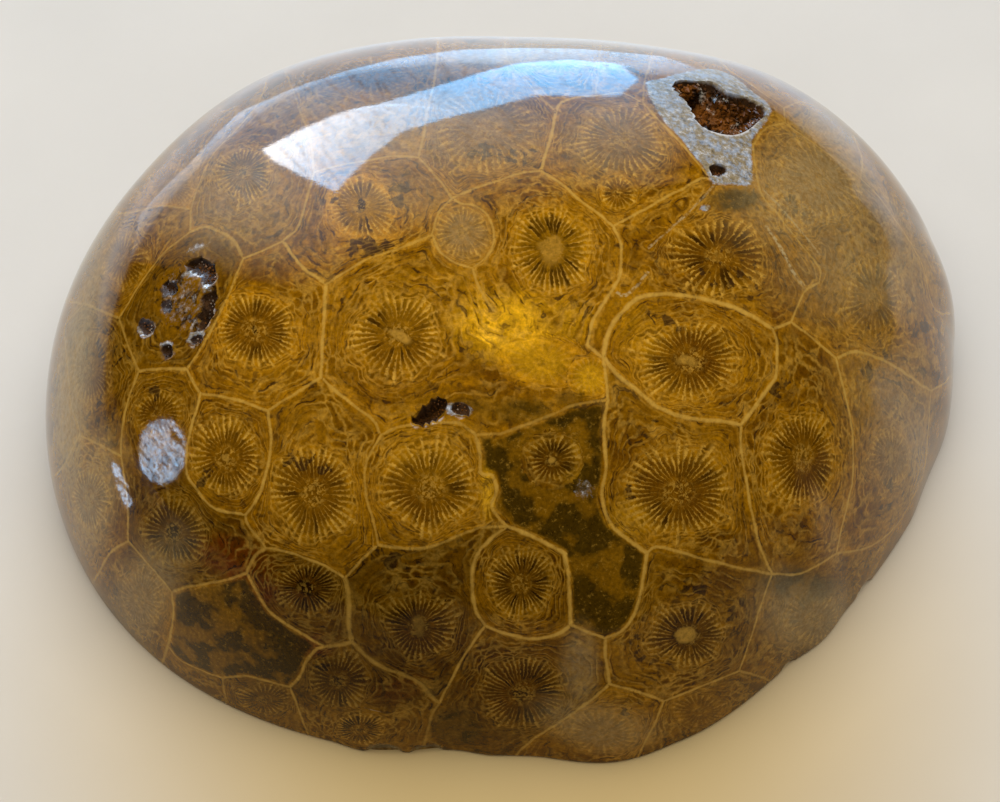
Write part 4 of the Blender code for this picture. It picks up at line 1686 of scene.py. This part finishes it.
def polished_calcite(colours, sizes):
    """Calcite, sawn and polished to a wet-looking gloss.

    The eye sees tan plates on honey brown as if under glass, mirror-like lights, and dull
    brown crystal linings where the stone is hollow.
    """
    finish, surface, add = new_finish("polished_fossil_calcite")
    colour, place = coral_pattern(add, colours, sizes)
    depth, pale, _ = parts(add, stored(add, "hollows"))
    _, _, silver = parts(add, stored(add, "clouds"))
    lining = add(RANGE, depth, 0.0, 0.3, 0.0, 1.0)

    speckle = add(NOISE, Vector=place, Scale=1.5, Detail=5.0, Roughness=0.75)
    # Milk: pale calcite over the pale patches and bruised chips, partly a painted reflection haze.
    milk_and_sheen = add(RANGE, speckle, 0.36, 0.62, 0.42, 0.94)
    milk_and_sheen = add(TIMES, milk_and_sheen, pale)
    colour = add(BLEND, milk_and_sheen, colour, colours.pale)
    quartz = add(TIMES_PLUS, speckle, 0.9, silver)
    quartz = add(FADE, quartz, 0.68, 1.12, 0.0, 1.0)
    # The quartz's own dusty brown-grey is blotched with a bluish painted sky reflection and speckled
    # with pale painted glints.
    blotch = add(NOISE, Vector=place, Scale=0.8, Detail=5.0, Roughness=0.8)
    blotch = add(FADE, blotch, 0.42, 0.6, 0.0, 1.0)
    grey = add(BLEND, blotch, colours.dusty, colours.silver)
    painted_glint = add(FADE, speckle, 0.52, 0.7, 0.0, 0.9)
    grey = add(BLEND, painted_glint, grey, colours.frost)
    pitted = add(FADE, speckle, 0.32, 0.5, 0.45, 1.05)
    grey = add(SCALE, grey, pitted)
    colour = add(BLEND, quartz, colour, grey)
    # Painted highlight: the lower rims of the vugs are made pale by the stored rim light.
    rim = add(TIMES_PLUS, speckle, -1.0, 0.5)
    rim = add(ADD, rim, depth)
    rim = add(FADE, rim, -0.35, -0.85, 0.0, 0.9)
    colour = add(BLEND, rim, colour, colours.frost)
    crust = add(RANGE, speckle, 0.35, 0.75, 0.25, 1.9)
    crust = add(SCALE, tuple(colours.druse), crust)
    colour = add(BLEND, lining, colour, crust)

    rough = add(NOISE, Vector=place, Scale=1.4, Detail=3.0)
    rough = add(RANGE, rough, 0.3, 0.7, 0.03, 0.07)
    rough = add(TIMES_PLUS, quartz, 0.16, rough)
    rough = add(TIMES_PLUS, lining, 0.5, rough)

    scratch = add(STRETCH, place, (0.25, 3.2, 3.2))
    scratch = add(NOISE, Vector=scratch, Scale=MM / sizes.scratch / 2.0, Detail=3.0)
    scratch = add(TIMES_PLUS, quartz, 2.5, scratch)
    bump = add(BUMP, Strength=0.02, Distance=0.0001, Height=scratch)
    fill(surface, {"Base Color": colour, "Roughness": rough, "IOR": 1.55, "Normal": bump})
    return finish


def sawn_calcite(colours, sizes):
    """The same calcite, sawn and left dull.

    The cut mesh of cups shows through a pale grey-tan skin scored by the saw.
    """
    finish, surface, add = new_finish("sawn_fossil_calcite")
    colour, place = coral_pattern(add, colours, sizes)
    dust = add(NOISE, Vector=place, Scale=0.35, Detail=4.0)
    dust = add(RANGE, dust, 0.3, 0.7, 0.35, 0.6)
    colour = add(BLEND, dust, colour, colours.sawn)
    marks = add(STRETCH, place, (1.0, 0.04, 1.0))
    marks = add(NOISE, Vector=marks, Scale=MM / sizes.saw_mark, Detail=2.0)
    shade = add(RANGE, marks, 0.3, 0.7, 0.0, 0.25)
    colour = add(BLEND, shade, colour, colours.deep)
    bump = add(BUMP, Strength=0.35, Distance=0.0002, Height=marks)
    fill(surface, {"Base Color": colour, "Roughness": 0.62, "IOR": 1.60, "Normal": bump})
    return finish


def druse_quartz(crystals):
    """Tiny quartz points, some iron-stained and some clean.

    They glint: smooth faces, pale tips among brown ones.
    """
    finish, surface, add = new_finish("drusy_quartz")
    place = object_mm(add)
    patch = add(NOISE, Vector=place, Scale=0.45, Detail=4.0, Roughness=0.7)
    patch = add(FADE, patch, 0.54, 0.68, 0.0, 0.6)
    dim = add(NOISE, Vector=place, Scale=0.25, Detail=4.0, Roughness=0.6)
    dim = add(RANGE, dim, 0.42, 0.6, 0.06, 1.0)
    amber = add(SCALE, tuple(crystals.amber), dim)
    colour = add(BLEND, patch, amber, crystals.frost)
    fill(surface, {"Base Color": colour, "Roughness": 0.28, "IOR": 1.545})
    return finish


# The amber glow that the stone throws on the paper in front is painted light in the paper's colour.
# The polish only mirrors the paper round the left and the back: its image fades away from the middle
# given here.
PAINTED_AMBER_MIDDLE_MM = (2.0, -38.0, 0.0)
PAINTED_AMBER_REACH_MM = (14.0, 80.0)
MIRRORED_MIDDLE_MM = (-20.0, 400.0, 0.0)
MIRRORED_FADE_MM = (395.0, 475.0)


def white_paper(look):
    """Matt paper: warm white with the faintest mottling, and painted amber light by the stone."""
    finish, surface, add = new_finish("matt_white_paper")
    place = object_mm(add)
    mottle = add(NOISE, Vector=place, Scale=0.03, Detail=5.0)
    mottle = add(RANGE, mottle, 0.3, 0.7, 0.96, 1.02)
    off = add(DISTANCE, place, PAINTED_AMBER_MIDDLE_MM)
    # Painted light: amber on the paper in front of the stone.
    near = add(FADE, off, *PAINTED_AMBER_REACH_MM, 1.0, 0.0)
    colour = add(BLEND, near, look.floor, look.amber)
    off = add(DISTANCE, place, MIRRORED_MIDDLE_MM)
    fade = add(FADE, off, *MIRRORED_FADE_MM, 0.0, 0.92)
    in_mirror = add(LIGHT_PATH).node.outputs["Is Glossy Ray"]
    fade = add(TIMES, fade, in_mirror)
    fade = add(TIMES_PLUS, fade, -1.0, 1.0)
    fade = add(TIMES, fade, mottle)
    colour = add(SCALE, colour, fade)
    fill(surface, {"Base Color": colour, "Roughness": 0.85})
    return finish


# ---------------------------------------------------------------------------------------
# Pieces.

def piece_object(name, mesh, *finishes):
    """Links a finished mesh as an object at the origin."""
    for finish in finishes:
        mesh.materials.append(finish)
    piece = bpy.data.objects.new(name, mesh)
    bpy.context.scene.collection.objects.link(piece)
    return piece


SPOTS = Kind("GeometryNodeDistributePointsOnFaces", {"distribute_method": "POISSON"})
CONE = Kind("GeometryNodeMeshCone", {"fill_type": "NGON"})
RANDOM_TILT = Kind("FunctionNodeRandomValue", {"data_type": "FLOAT_VECTOR"})
ROTATION = Kind("FunctionNodeRotateRotation", {"rotation_space": "LOCAL"})
RANDOM_SHARE = Kind("FunctionNodeRandomValue", {"data_type": "FLOAT"}, inputs=(2, 3), output=1)
STORED_SIZE = Kind("GeometryNodeInputNamedAttribute", {"data_type": "FLOAT"})
INSTANCES = Kind("GeometryNodeInstanceOnPoints")
REALIZED = Kind("GeometryNodeRealizeInstances")
SET_MATERIAL = Kind("GeometryNodeSetMaterial")
DENSEST = 3.0e7
CRYSTAL_SIDES = 6
MOST_TILT = 0.6
SMALLEST_SHARE = 0.45


def druse_tree(finish):
    """Geometry nodes that stand crystals on a bed and join them into one mesh."""
    tree = bpy.data.node_groups.new("vug_druse", "GeometryNodeTree")
    face = tree.interface
    face.new_socket("Bed", in_out="INPUT", socket_type="NodeSocketGeometry")
    for name, kind in (
        ("Length", "NodeSocketFloat"), ("Width", "NodeSocketFloat"),
        ("Spacing", "NodeSocketFloat"), ("Seed", "NodeSocketInt"),
    ):
        face.new_socket(name, in_out="INPUT", socket_type=kind)
    face.new_socket("Druse", in_out="OUTPUT", socket_type="NodeSocketGeometry")
    given = tree.nodes.new("NodeGroupInput").outputs
    result = tree.nodes.new("NodeGroupOutput")
    add = partial(add_node, tree)

    spots = add(
        SPOTS, given["Bed"], **{"Distance Min": given["Spacing"], "Density Max": DENSEST},
        Seed=given["Seed"],
    )
    upright = spots.node.outputs["Rotation"]
    point = add(CONE, CRYSTAL_SIDES, **{
        "Radius Top": 0.0, "Radius Bottom": given["Width"], "Depth": given["Length"],
    })
    furthest = Vector((MOST_TILT, MOST_TILT, math.pi))
    tilt = add(RANDOM_TILT, -furthest, furthest, Seed=given["Seed"])
    turned = add(ROTATION, upright, tilt)
    vary = add(RANDOM_SHARE, SMALLEST_SHARE, 1.0, Seed=given["Seed"])
    scale = add(TIMES, add(STORED_SIZE, "crystal_size"), vary)
    stood = add(INSTANCES, Points=spots, Instance=point, Rotation=turned, Scale=scale)
    done = add(SET_MATERIAL, Geometry=add(REALIZED, stood), Material=finish)
    fill(result, {"Druse": done})
    return tree


def set_inputs(modifier, **values):
    """Sets a geometry nodes modifier's inputs by the identifiers of their sockets."""
    for item in modifier.node_group.interface.items_tree:
        if item.item_type == "SOCKET" and item.in_out == "INPUT" and item.name in values:
            modifier[item.identifier] = values[item.name]


def plain_mesh(piece):
    """The evaluated object as a plain mesh."""
    bpy.context.view_layer.update()
    graph = bpy.context.evaluated_depsgraph_get()
    return bpy.data.meshes.new_from_object(piece.evaluated_get(graph))


DRUSE_FROM_LINING = 0.5


class OBJECT_OT_coral_stone(bpy.types.Operator):
    """Builds the polished stone and the druse that lines its vugs"""

    bl_idname = "object.coral_stone"
    bl_label = "Coral Stone and Druse"

    def execute(self, context):
        head = context.scene.coral_head
        mesh, points, triangles, lining, grain_size = stone_mesh(head.sizes)
        stone = piece_object(
            "coral_stone", mesh, polished_calcite(head.colours, head.sizes),
            sawn_calcite(head.colours, head.sizes),
        )
        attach(stone, "root")
        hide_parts("coral_head")

        lined = triangles[(lining[triangles] > DRUSE_FROM_LINING).sum(axis=1) > 1]
        used, renumbered = np.unique(lined, return_inverse=True)
        bed_mesh = bpy.data.meshes.new("druse_bed")
        bed_mesh.from_pydata(points[used].tolist(), [], renumbered.reshape(-1, 3).tolist())
        put(bed_mesh, "crystal_size", "FLOAT", "POINT", grain_size[used])
        bed = piece_object("druse_bed", bed_mesh)
        nodes = bed.modifiers.new("druse", "NODES")
        finish = druse_quartz(head.crystals)
        nodes.node_group = druse_tree(finish)
        set_inputs(
            nodes, Length=head.crystals.length, Width=head.crystals.width / 2.0,
            Spacing=head.crystals.spacing, Seed=head.crystals.seed,
        )
        druse = piece_object("vug_druse", plain_mesh(bed))
        bpy.data.objects.remove(bed, do_unlink=True)
        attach(druse, "root")
        return {"FINISHED"}


FLOOR_HALF = 1.2
# A card is this far from the stone, or nearer where it would come lower than the lift.
CARD_DISTANCE = 0.9
CARD_LIFT = 0.002
# The net of the stone that the cards are mirrored in is this coarse.
CARD_RINGS = 60
# The window's mirror image on the dome, and for each of its corners one of the halo round it,
# with the halo's share of the shine there.
WINDOW_IMAGE = (
    (262, 150), (300, 130), (340, 113), (380, 104), (430, 89), (480, 73), (520, 63), (570, 60),
    (618, 64), (638, 80), (620, 95), (590, 97), (540, 95), (500, 105), (440, 120), (402, 132),
    (375, 152), (350, 176), (336, 192), (302, 176), (275, 162),
)
HALO_IMAGE = (
    (140, 215, 0.10), (240, 112, 0.20), (300, 86, 0.26), (350, 70, 0.28), (400, 58, 0.28),
    (460, 50, 0.26), (520, 48, 0.24), (580, 49, 0.20), (660, 56, 0.14), (730, 80, 0.05),
    (740, 150, 0.0), (650, 200, 0.0), (572, 205, 0.0), (522, 215, 0.0), (455, 230, 0.0),
    (402, 245, 0.0), (365, 262, 0.0), (335, 285, 0.0), (295, 290, 0.0), (215, 275, 0.0),
    (130, 262, 0.02),
)
# The window turns blue between these pixels across, which shift with the pixels down past the
# white part. Its fade is its shine by pixels across.
WINDOW_BLUE = (320.0, 430.0)
WINDOW_BLUE_SLOPE = 2.2
WINDOW_WHITE_TO = 150.0
WINDOW_FADE = ((262.0, 380.0, 520.0, 640.0), (1.6, 1.0, 0.9, 0.7))
WINDOW_SHINE = 11.0
WINDOW_DUST = 0.14
# The halo's share of the shine by the window's edge, and its blueness by pixels down.
HALO_SHARE = 0.24
HALO_BLUENESS = ((85.0, 160.0), (0.90, 0.20))
SCRATCH_TURN = math.radians(-48.0)
# A small window's image at the side, and a sliver of light beside it.
SPOT_IMAGE = (
    (141, 436), (147, 426), (158, 420), (172, 420), (182, 428), (186, 444), (184, 464),
    (176, 478), (163, 484), (150, 480), (141, 468), (139, 452),
)
SLIVER_IMAGE = ((112, 462), (119, 466), (128, 486), (133, 504), (127, 508), (118, 490))
SPOT_SHINE = 7.5
SLIVER_SHINE = 6.0
SPOT_BLUENESS = 0.30
# The bright floor behind the stone: its middle and size, and its shine by share of its depth.
BOUNCE_PLACE = Vector((-0.02, 0.245, 0.001))
BOUNCE_SIZE = (0.48, 0.38)
BOUNCE_SHINE = 0.62
BOUNCE_BLUENESS = 0.5
BOUNCE_ROWS = ((0.0, 0.0), (0.06, 1.0), (0.6, 1.0), (1.0, 0.4))
BOUNCE_SIDES = (-1.0, -0.35, 0.35, 1.0)
OVERHEAD_PLACE = Vector((-0.02, 0.02, 0.75))
OVERHEAD_SIZE = (0.9, 0.9)
OVERHEAD_POWER = 6.6
WORLD_STRENGTH = 0.28


def soft_light(name, place, aim, size, power, colour):
    """A rectangular light facing a point. It and its mirror image stay out of sight."""
    light = bpy.data.lights.new(name, "AREA")
    light.shape = "RECTANGLE"
    light.size, light.size_y = size
    light.energy = power
    light.color = colour
    lamp = bpy.data.objects.new(name, light)
    facing = (place - aim).to_track_quat("Z", "Y").to_matrix().to_4x4()
    lamp.matrix_world = Matrix.Translation(place) @ facing
    lamp.visible_camera = False
    lamp.visible_glossy = False
    bpy.context.scene.collection.objects.link(lamp)


NORMAL_STEP = 1.0e-4


def skin_normal(point):
    """The polished skin's normal at a point on it."""
    way = (point - WAIST_CENTRE) @ LEAN
    polar = math.atan2(math.hypot(way[0], way[1]), way[2])
    azimuth = math.atan2(way[1], way[0])
    polars = polar + NORMAL_STEP * np.array((1.0, -1.0, 0.0, 0.0))
    azimuths = azimuth + NORMAL_STEP * np.array((0.0, 0.0, 1.0, -1.0))
    down, up, left, right = skin(polars, azimuths)
    normal = np.cross(down - up, left - right)
    return Vector(normal / np.linalg.norm(normal))


def mirrored(sight_lines, pixel):
    """Where a card has to be for the stone to show its mirror image at a pixel."""
    way = sight(pixel)
    hit = sight_lines.hit(pixel)
    bounced = way.reflect(skin_normal(np.array(hit)))
    reach = CARD_DISTANCE
    if bounced.z < 0.0:
        reach = min(reach, (hit.z - CARD_LIFT) / -bounced.z)
    return hit + bounced * reach


def shining_paper(name, blue, white):
    """A window or a lit card: see-through, and as bright and bluish as it is stored."""
    finish, _, add = new_finish(name)
    strength, blueness, dusty = parts(add, stored(add, "shine"))
    glass = stored(add, "glass")
    dust = add(NOISE, Vector=glass, Scale=3.6, Detail=2.0)
    bluer = add(RANGE, dust, 0.35, 0.65, -0.5, 0.5)
    bluer = add(TIMES_PLUS, bluer, dusty, blueness)
    colour = add(BLEND, bluer, white, blue)
    dust = add(RANGE, dust, 0.4, 0.6, -1.1, 1.1)
    scratch = add(ROTATE, Vector=glass, Angle=SCRATCH_TURN)
    scratch = add(STRETCH, scratch, (0.25, 2.2, 1.0))
    scratch = add(NOISE, Vector=scratch, Scale=1.0, Detail=3.0)
    scratch = add(FADE, scratch, 0.5, 0.62, 0.0, -2.0)
    dust = add(ADD, dust, scratch)
    dust = add(TIMES_PLUS, dust, dusty, 1.0)
    dust = add(MOST, dust, 0.0)
    strength = add(TIMES, strength, dust)
    glow = add(EMISSION, Color=colour, Strength=strength)
    clear = add(TRANSPARENT)
    glow = add(ADD_SHADER, glow, clear)
    fill(finish.node_tree.nodes["Material Output"], {"Surface": glow})
    return finish


def light_card(name, points, faces, shine, pixels, finish):
    """A glowing card that only shows as a mirror image, dusty by its places in the view."""
    mesh = bpy.data.meshes.new(name)
    mesh.from_pydata([tuple(point) for point in points], [], faces)
    put(mesh, "shine", "FLOAT_VECTOR", "POINT", shine)
    glass = np.column_stack((pixels, np.zeros(len(pixels)))) / PIXELS_PER_MM
    put(mesh, "glass", "FLOAT_VECTOR", "POINT", glass)
    card = piece_object(name, mesh, finish)
    card.visible_camera = False
    card.visible_diffuse = False
    card.visible_shadow = False


def with_halfways(corners):
    """A closed outline's corners with the middles of its sides between them."""
    middles = (corners + np.roll(corners, -1, axis=0)) / 2.0
    return np.stack((corners, middles), axis=1).reshape(-1, corners.shape[1])


def window_card(sight_lines, finish):
    """The window with the halo that fades away round it."""
    edge = with_halfways(np.array(WINDOW_IMAGE, float))
    *outer, fading = with_halfways(np.array(HALO_IMAGE, float)).T
    outer = np.stack(outer, axis=1)
    count = len(edge)
    pixels = np.concatenate((edge, edge, outer))
    points = [mirrored(sight_lines, pixel) for pixel in pixels]
    around = np.arange(count)
    beside = (around + 1) % count
    ring = np.stack((around + count, beside + count, beside + 2 * count, around + 2 * count), axis=1)
    triangles = tessellate_polygon([[Vector((*pixel, 0.0)) for pixel in edge]])
    shares = np.interp(edge[:, 0], *WINDOW_FADE), np.full(count, HALO_SHARE), fading
    strength = WINDOW_SHINE * np.concatenate(shares)
    across = pixels[:, 0] + WINDOW_BLUE_SLOPE * np.maximum(pixels[:, 1] - WINDOW_WHITE_TO, 0.0)
    blueness = np.interp(across, WINDOW_BLUE, (0.0, 1.0))
    blueness[count:] = np.interp(pixels[count:, 1], *HALO_BLUENESS)
    shine = np.stack((strength, blueness, np.full(len(pixels), WINDOW_DUST)), axis=1)
    faces = [tuple(t) for t in triangles] + ring.tolist()
    light_card("window", points, faces, shine, pixels, finish)


def spot_card(sight_lines, name, image, strength, finish):
    """A small card, equally strong all over under its dust."""
    points = [mirrored(sight_lines, pixel) for pixel in image]
    shine = [(strength, SPOT_BLUENESS, 1.0)] * len(points)
    light_card(name, points, [tuple(range(len(points)))], shine, image, finish)


def bounce_card(finish):
    """The bright floor behind the stone, fading in past the edge of the view."""
    half_wide, half_deep = (side / 2.0 for side in BOUNCE_SIZE)
    points, shine = [], []
    for share, strength in BOUNCE_ROWS:
        for side in BOUNCE_SIDES:
            away = Vector((side * half_wide, (share * 2.0 - 1.0) * half_deep, 0.0))
            points.append(BOUNCE_PLACE + away)
            fade = 1.0 if abs(side) < 1.0 else 0.0
            shine.append((BOUNCE_SHINE * strength * fade, BOUNCE_BLUENESS, 0.0))
    wide = len(BOUNCE_SIDES)
    corners = [
        row * wide + place for row in range(len(BOUNCE_ROWS) - 1) for place in range(wide - 1)
    ]
    faces = [(corner, corner + 1, corner + wide + 1, corner + wide) for corner in corners]
    light_card("bounce", points, faces, shine, np.zeros((len(points), 2)), finish)


class OBJECT_OT_coral_stage(bpy.types.Operator):
    """Lays the pale floor and sets the studio lights and the camera"""

    bl_idname = "object.coral_stage"
    bl_label = "Coral Stage"

    def execute(self, context):
        head = context.scene.coral_head
        look = head.stage
        bpy.ops.mesh.primitive_plane_add(size=2.0 * FLOOR_HALF)
        floor = context.object
        floor.name = "paper_floor"
        floor.data.materials.append(white_paper(look))

        points, triangles, *_ = stone_net(CARD_RINGS, head.sizes.rim_round)
        sight_lines = Sight(points, triangles)
        shining = shining_paper("window_light", look.window, look.cloud)
        window_card(sight_lines, shining)
        spot_card(sight_lines, "side_window", SPOT_IMAGE, SPOT_SHINE, shining)
        spot_card(sight_lines, "sliver", SLIVER_IMAGE, SLIVER_SHINE, shining)
        bounce_card(shining)
        soft_light("overhead", OVERHEAD_PLACE, Vector(), OVERHEAD_SIZE, OVERHEAD_POWER, look.lamp)
        world = bpy.data.worlds.new("room")
        world.use_nodes = True
        background = world.node_tree.nodes["Background"]
        fill(background, {"Color": look.sky, "Strength": WORLD_STRENGTH})
        world.cycles_visibility.glossy = False
        context.scene.world = world

        camera = bpy.data.cameras.new("camera")
        camera.lens = LENS_MM
        camera.sensor_width = SENSOR_MM
        camera.clip_start = 0.01
        viewer = bpy.data.objects.new("camera", camera)
        facing = (-CAMERA_AHEAD).to_track_quat("Z", "Y")
        viewer.matrix_world = Matrix.Translation(CAMERA_PLACE) @ facing.to_matrix().to_4x4()
        context.scene.collection.objects.link(viewer)
        context.scene.camera = viewer
        context.scene.view_settings.view_transform = "Standard"
        return {"FINISHED"}


class VIEW3D_PT_coral_head(bpy.types.Panel):
    """Sizes and colours, and the steps that build the stone"""

    bl_label = "Fossil Coral Head"
    bl_idname = "VIEW3D_PT_coral_head"
    bl_space_type = "VIEW_3D"
    bl_region_type = "UI"
    bl_category = "Coral"

    def draw(self, context):
        head = context.scene.coral_head
        for title, group in (
            ("Stone", head.sizes), ("Colours", head.colours), ("Druse", head.crystals),
            ("Stage", head.stage),
        ):
            box = self.layout.box()
            box.label(text=title)
            for name in group.__annotations__:
                box.prop(group, name)
        for step in STEPS:
            self.layout.operator(step.bl_idname)


STEPS = (OBJECT_OT_coral_stone, OBJECT_OT_coral_stage)
CLASSES = (
    StoneSizes, StoneColours, CrystalSizes, StageLook, CoralHead, *STEPS, VIEW3D_PT_coral_head,
)


def register():
    for item in CLASSES:
        bpy.utils.register_class(item)
    bpy.types.Scene.coral_head = PointerProperty(type=CoralHead)


def unregister():
    del bpy.types.Scene.coral_head
    for item in reversed(CLASSES):
        bpy.utils.unregister_class(item)


def main():
    register()
    bpy.ops.object.coral_stone()
    bpy.ops.object.coral_stage()


if __name__ == "__main__":
    main()
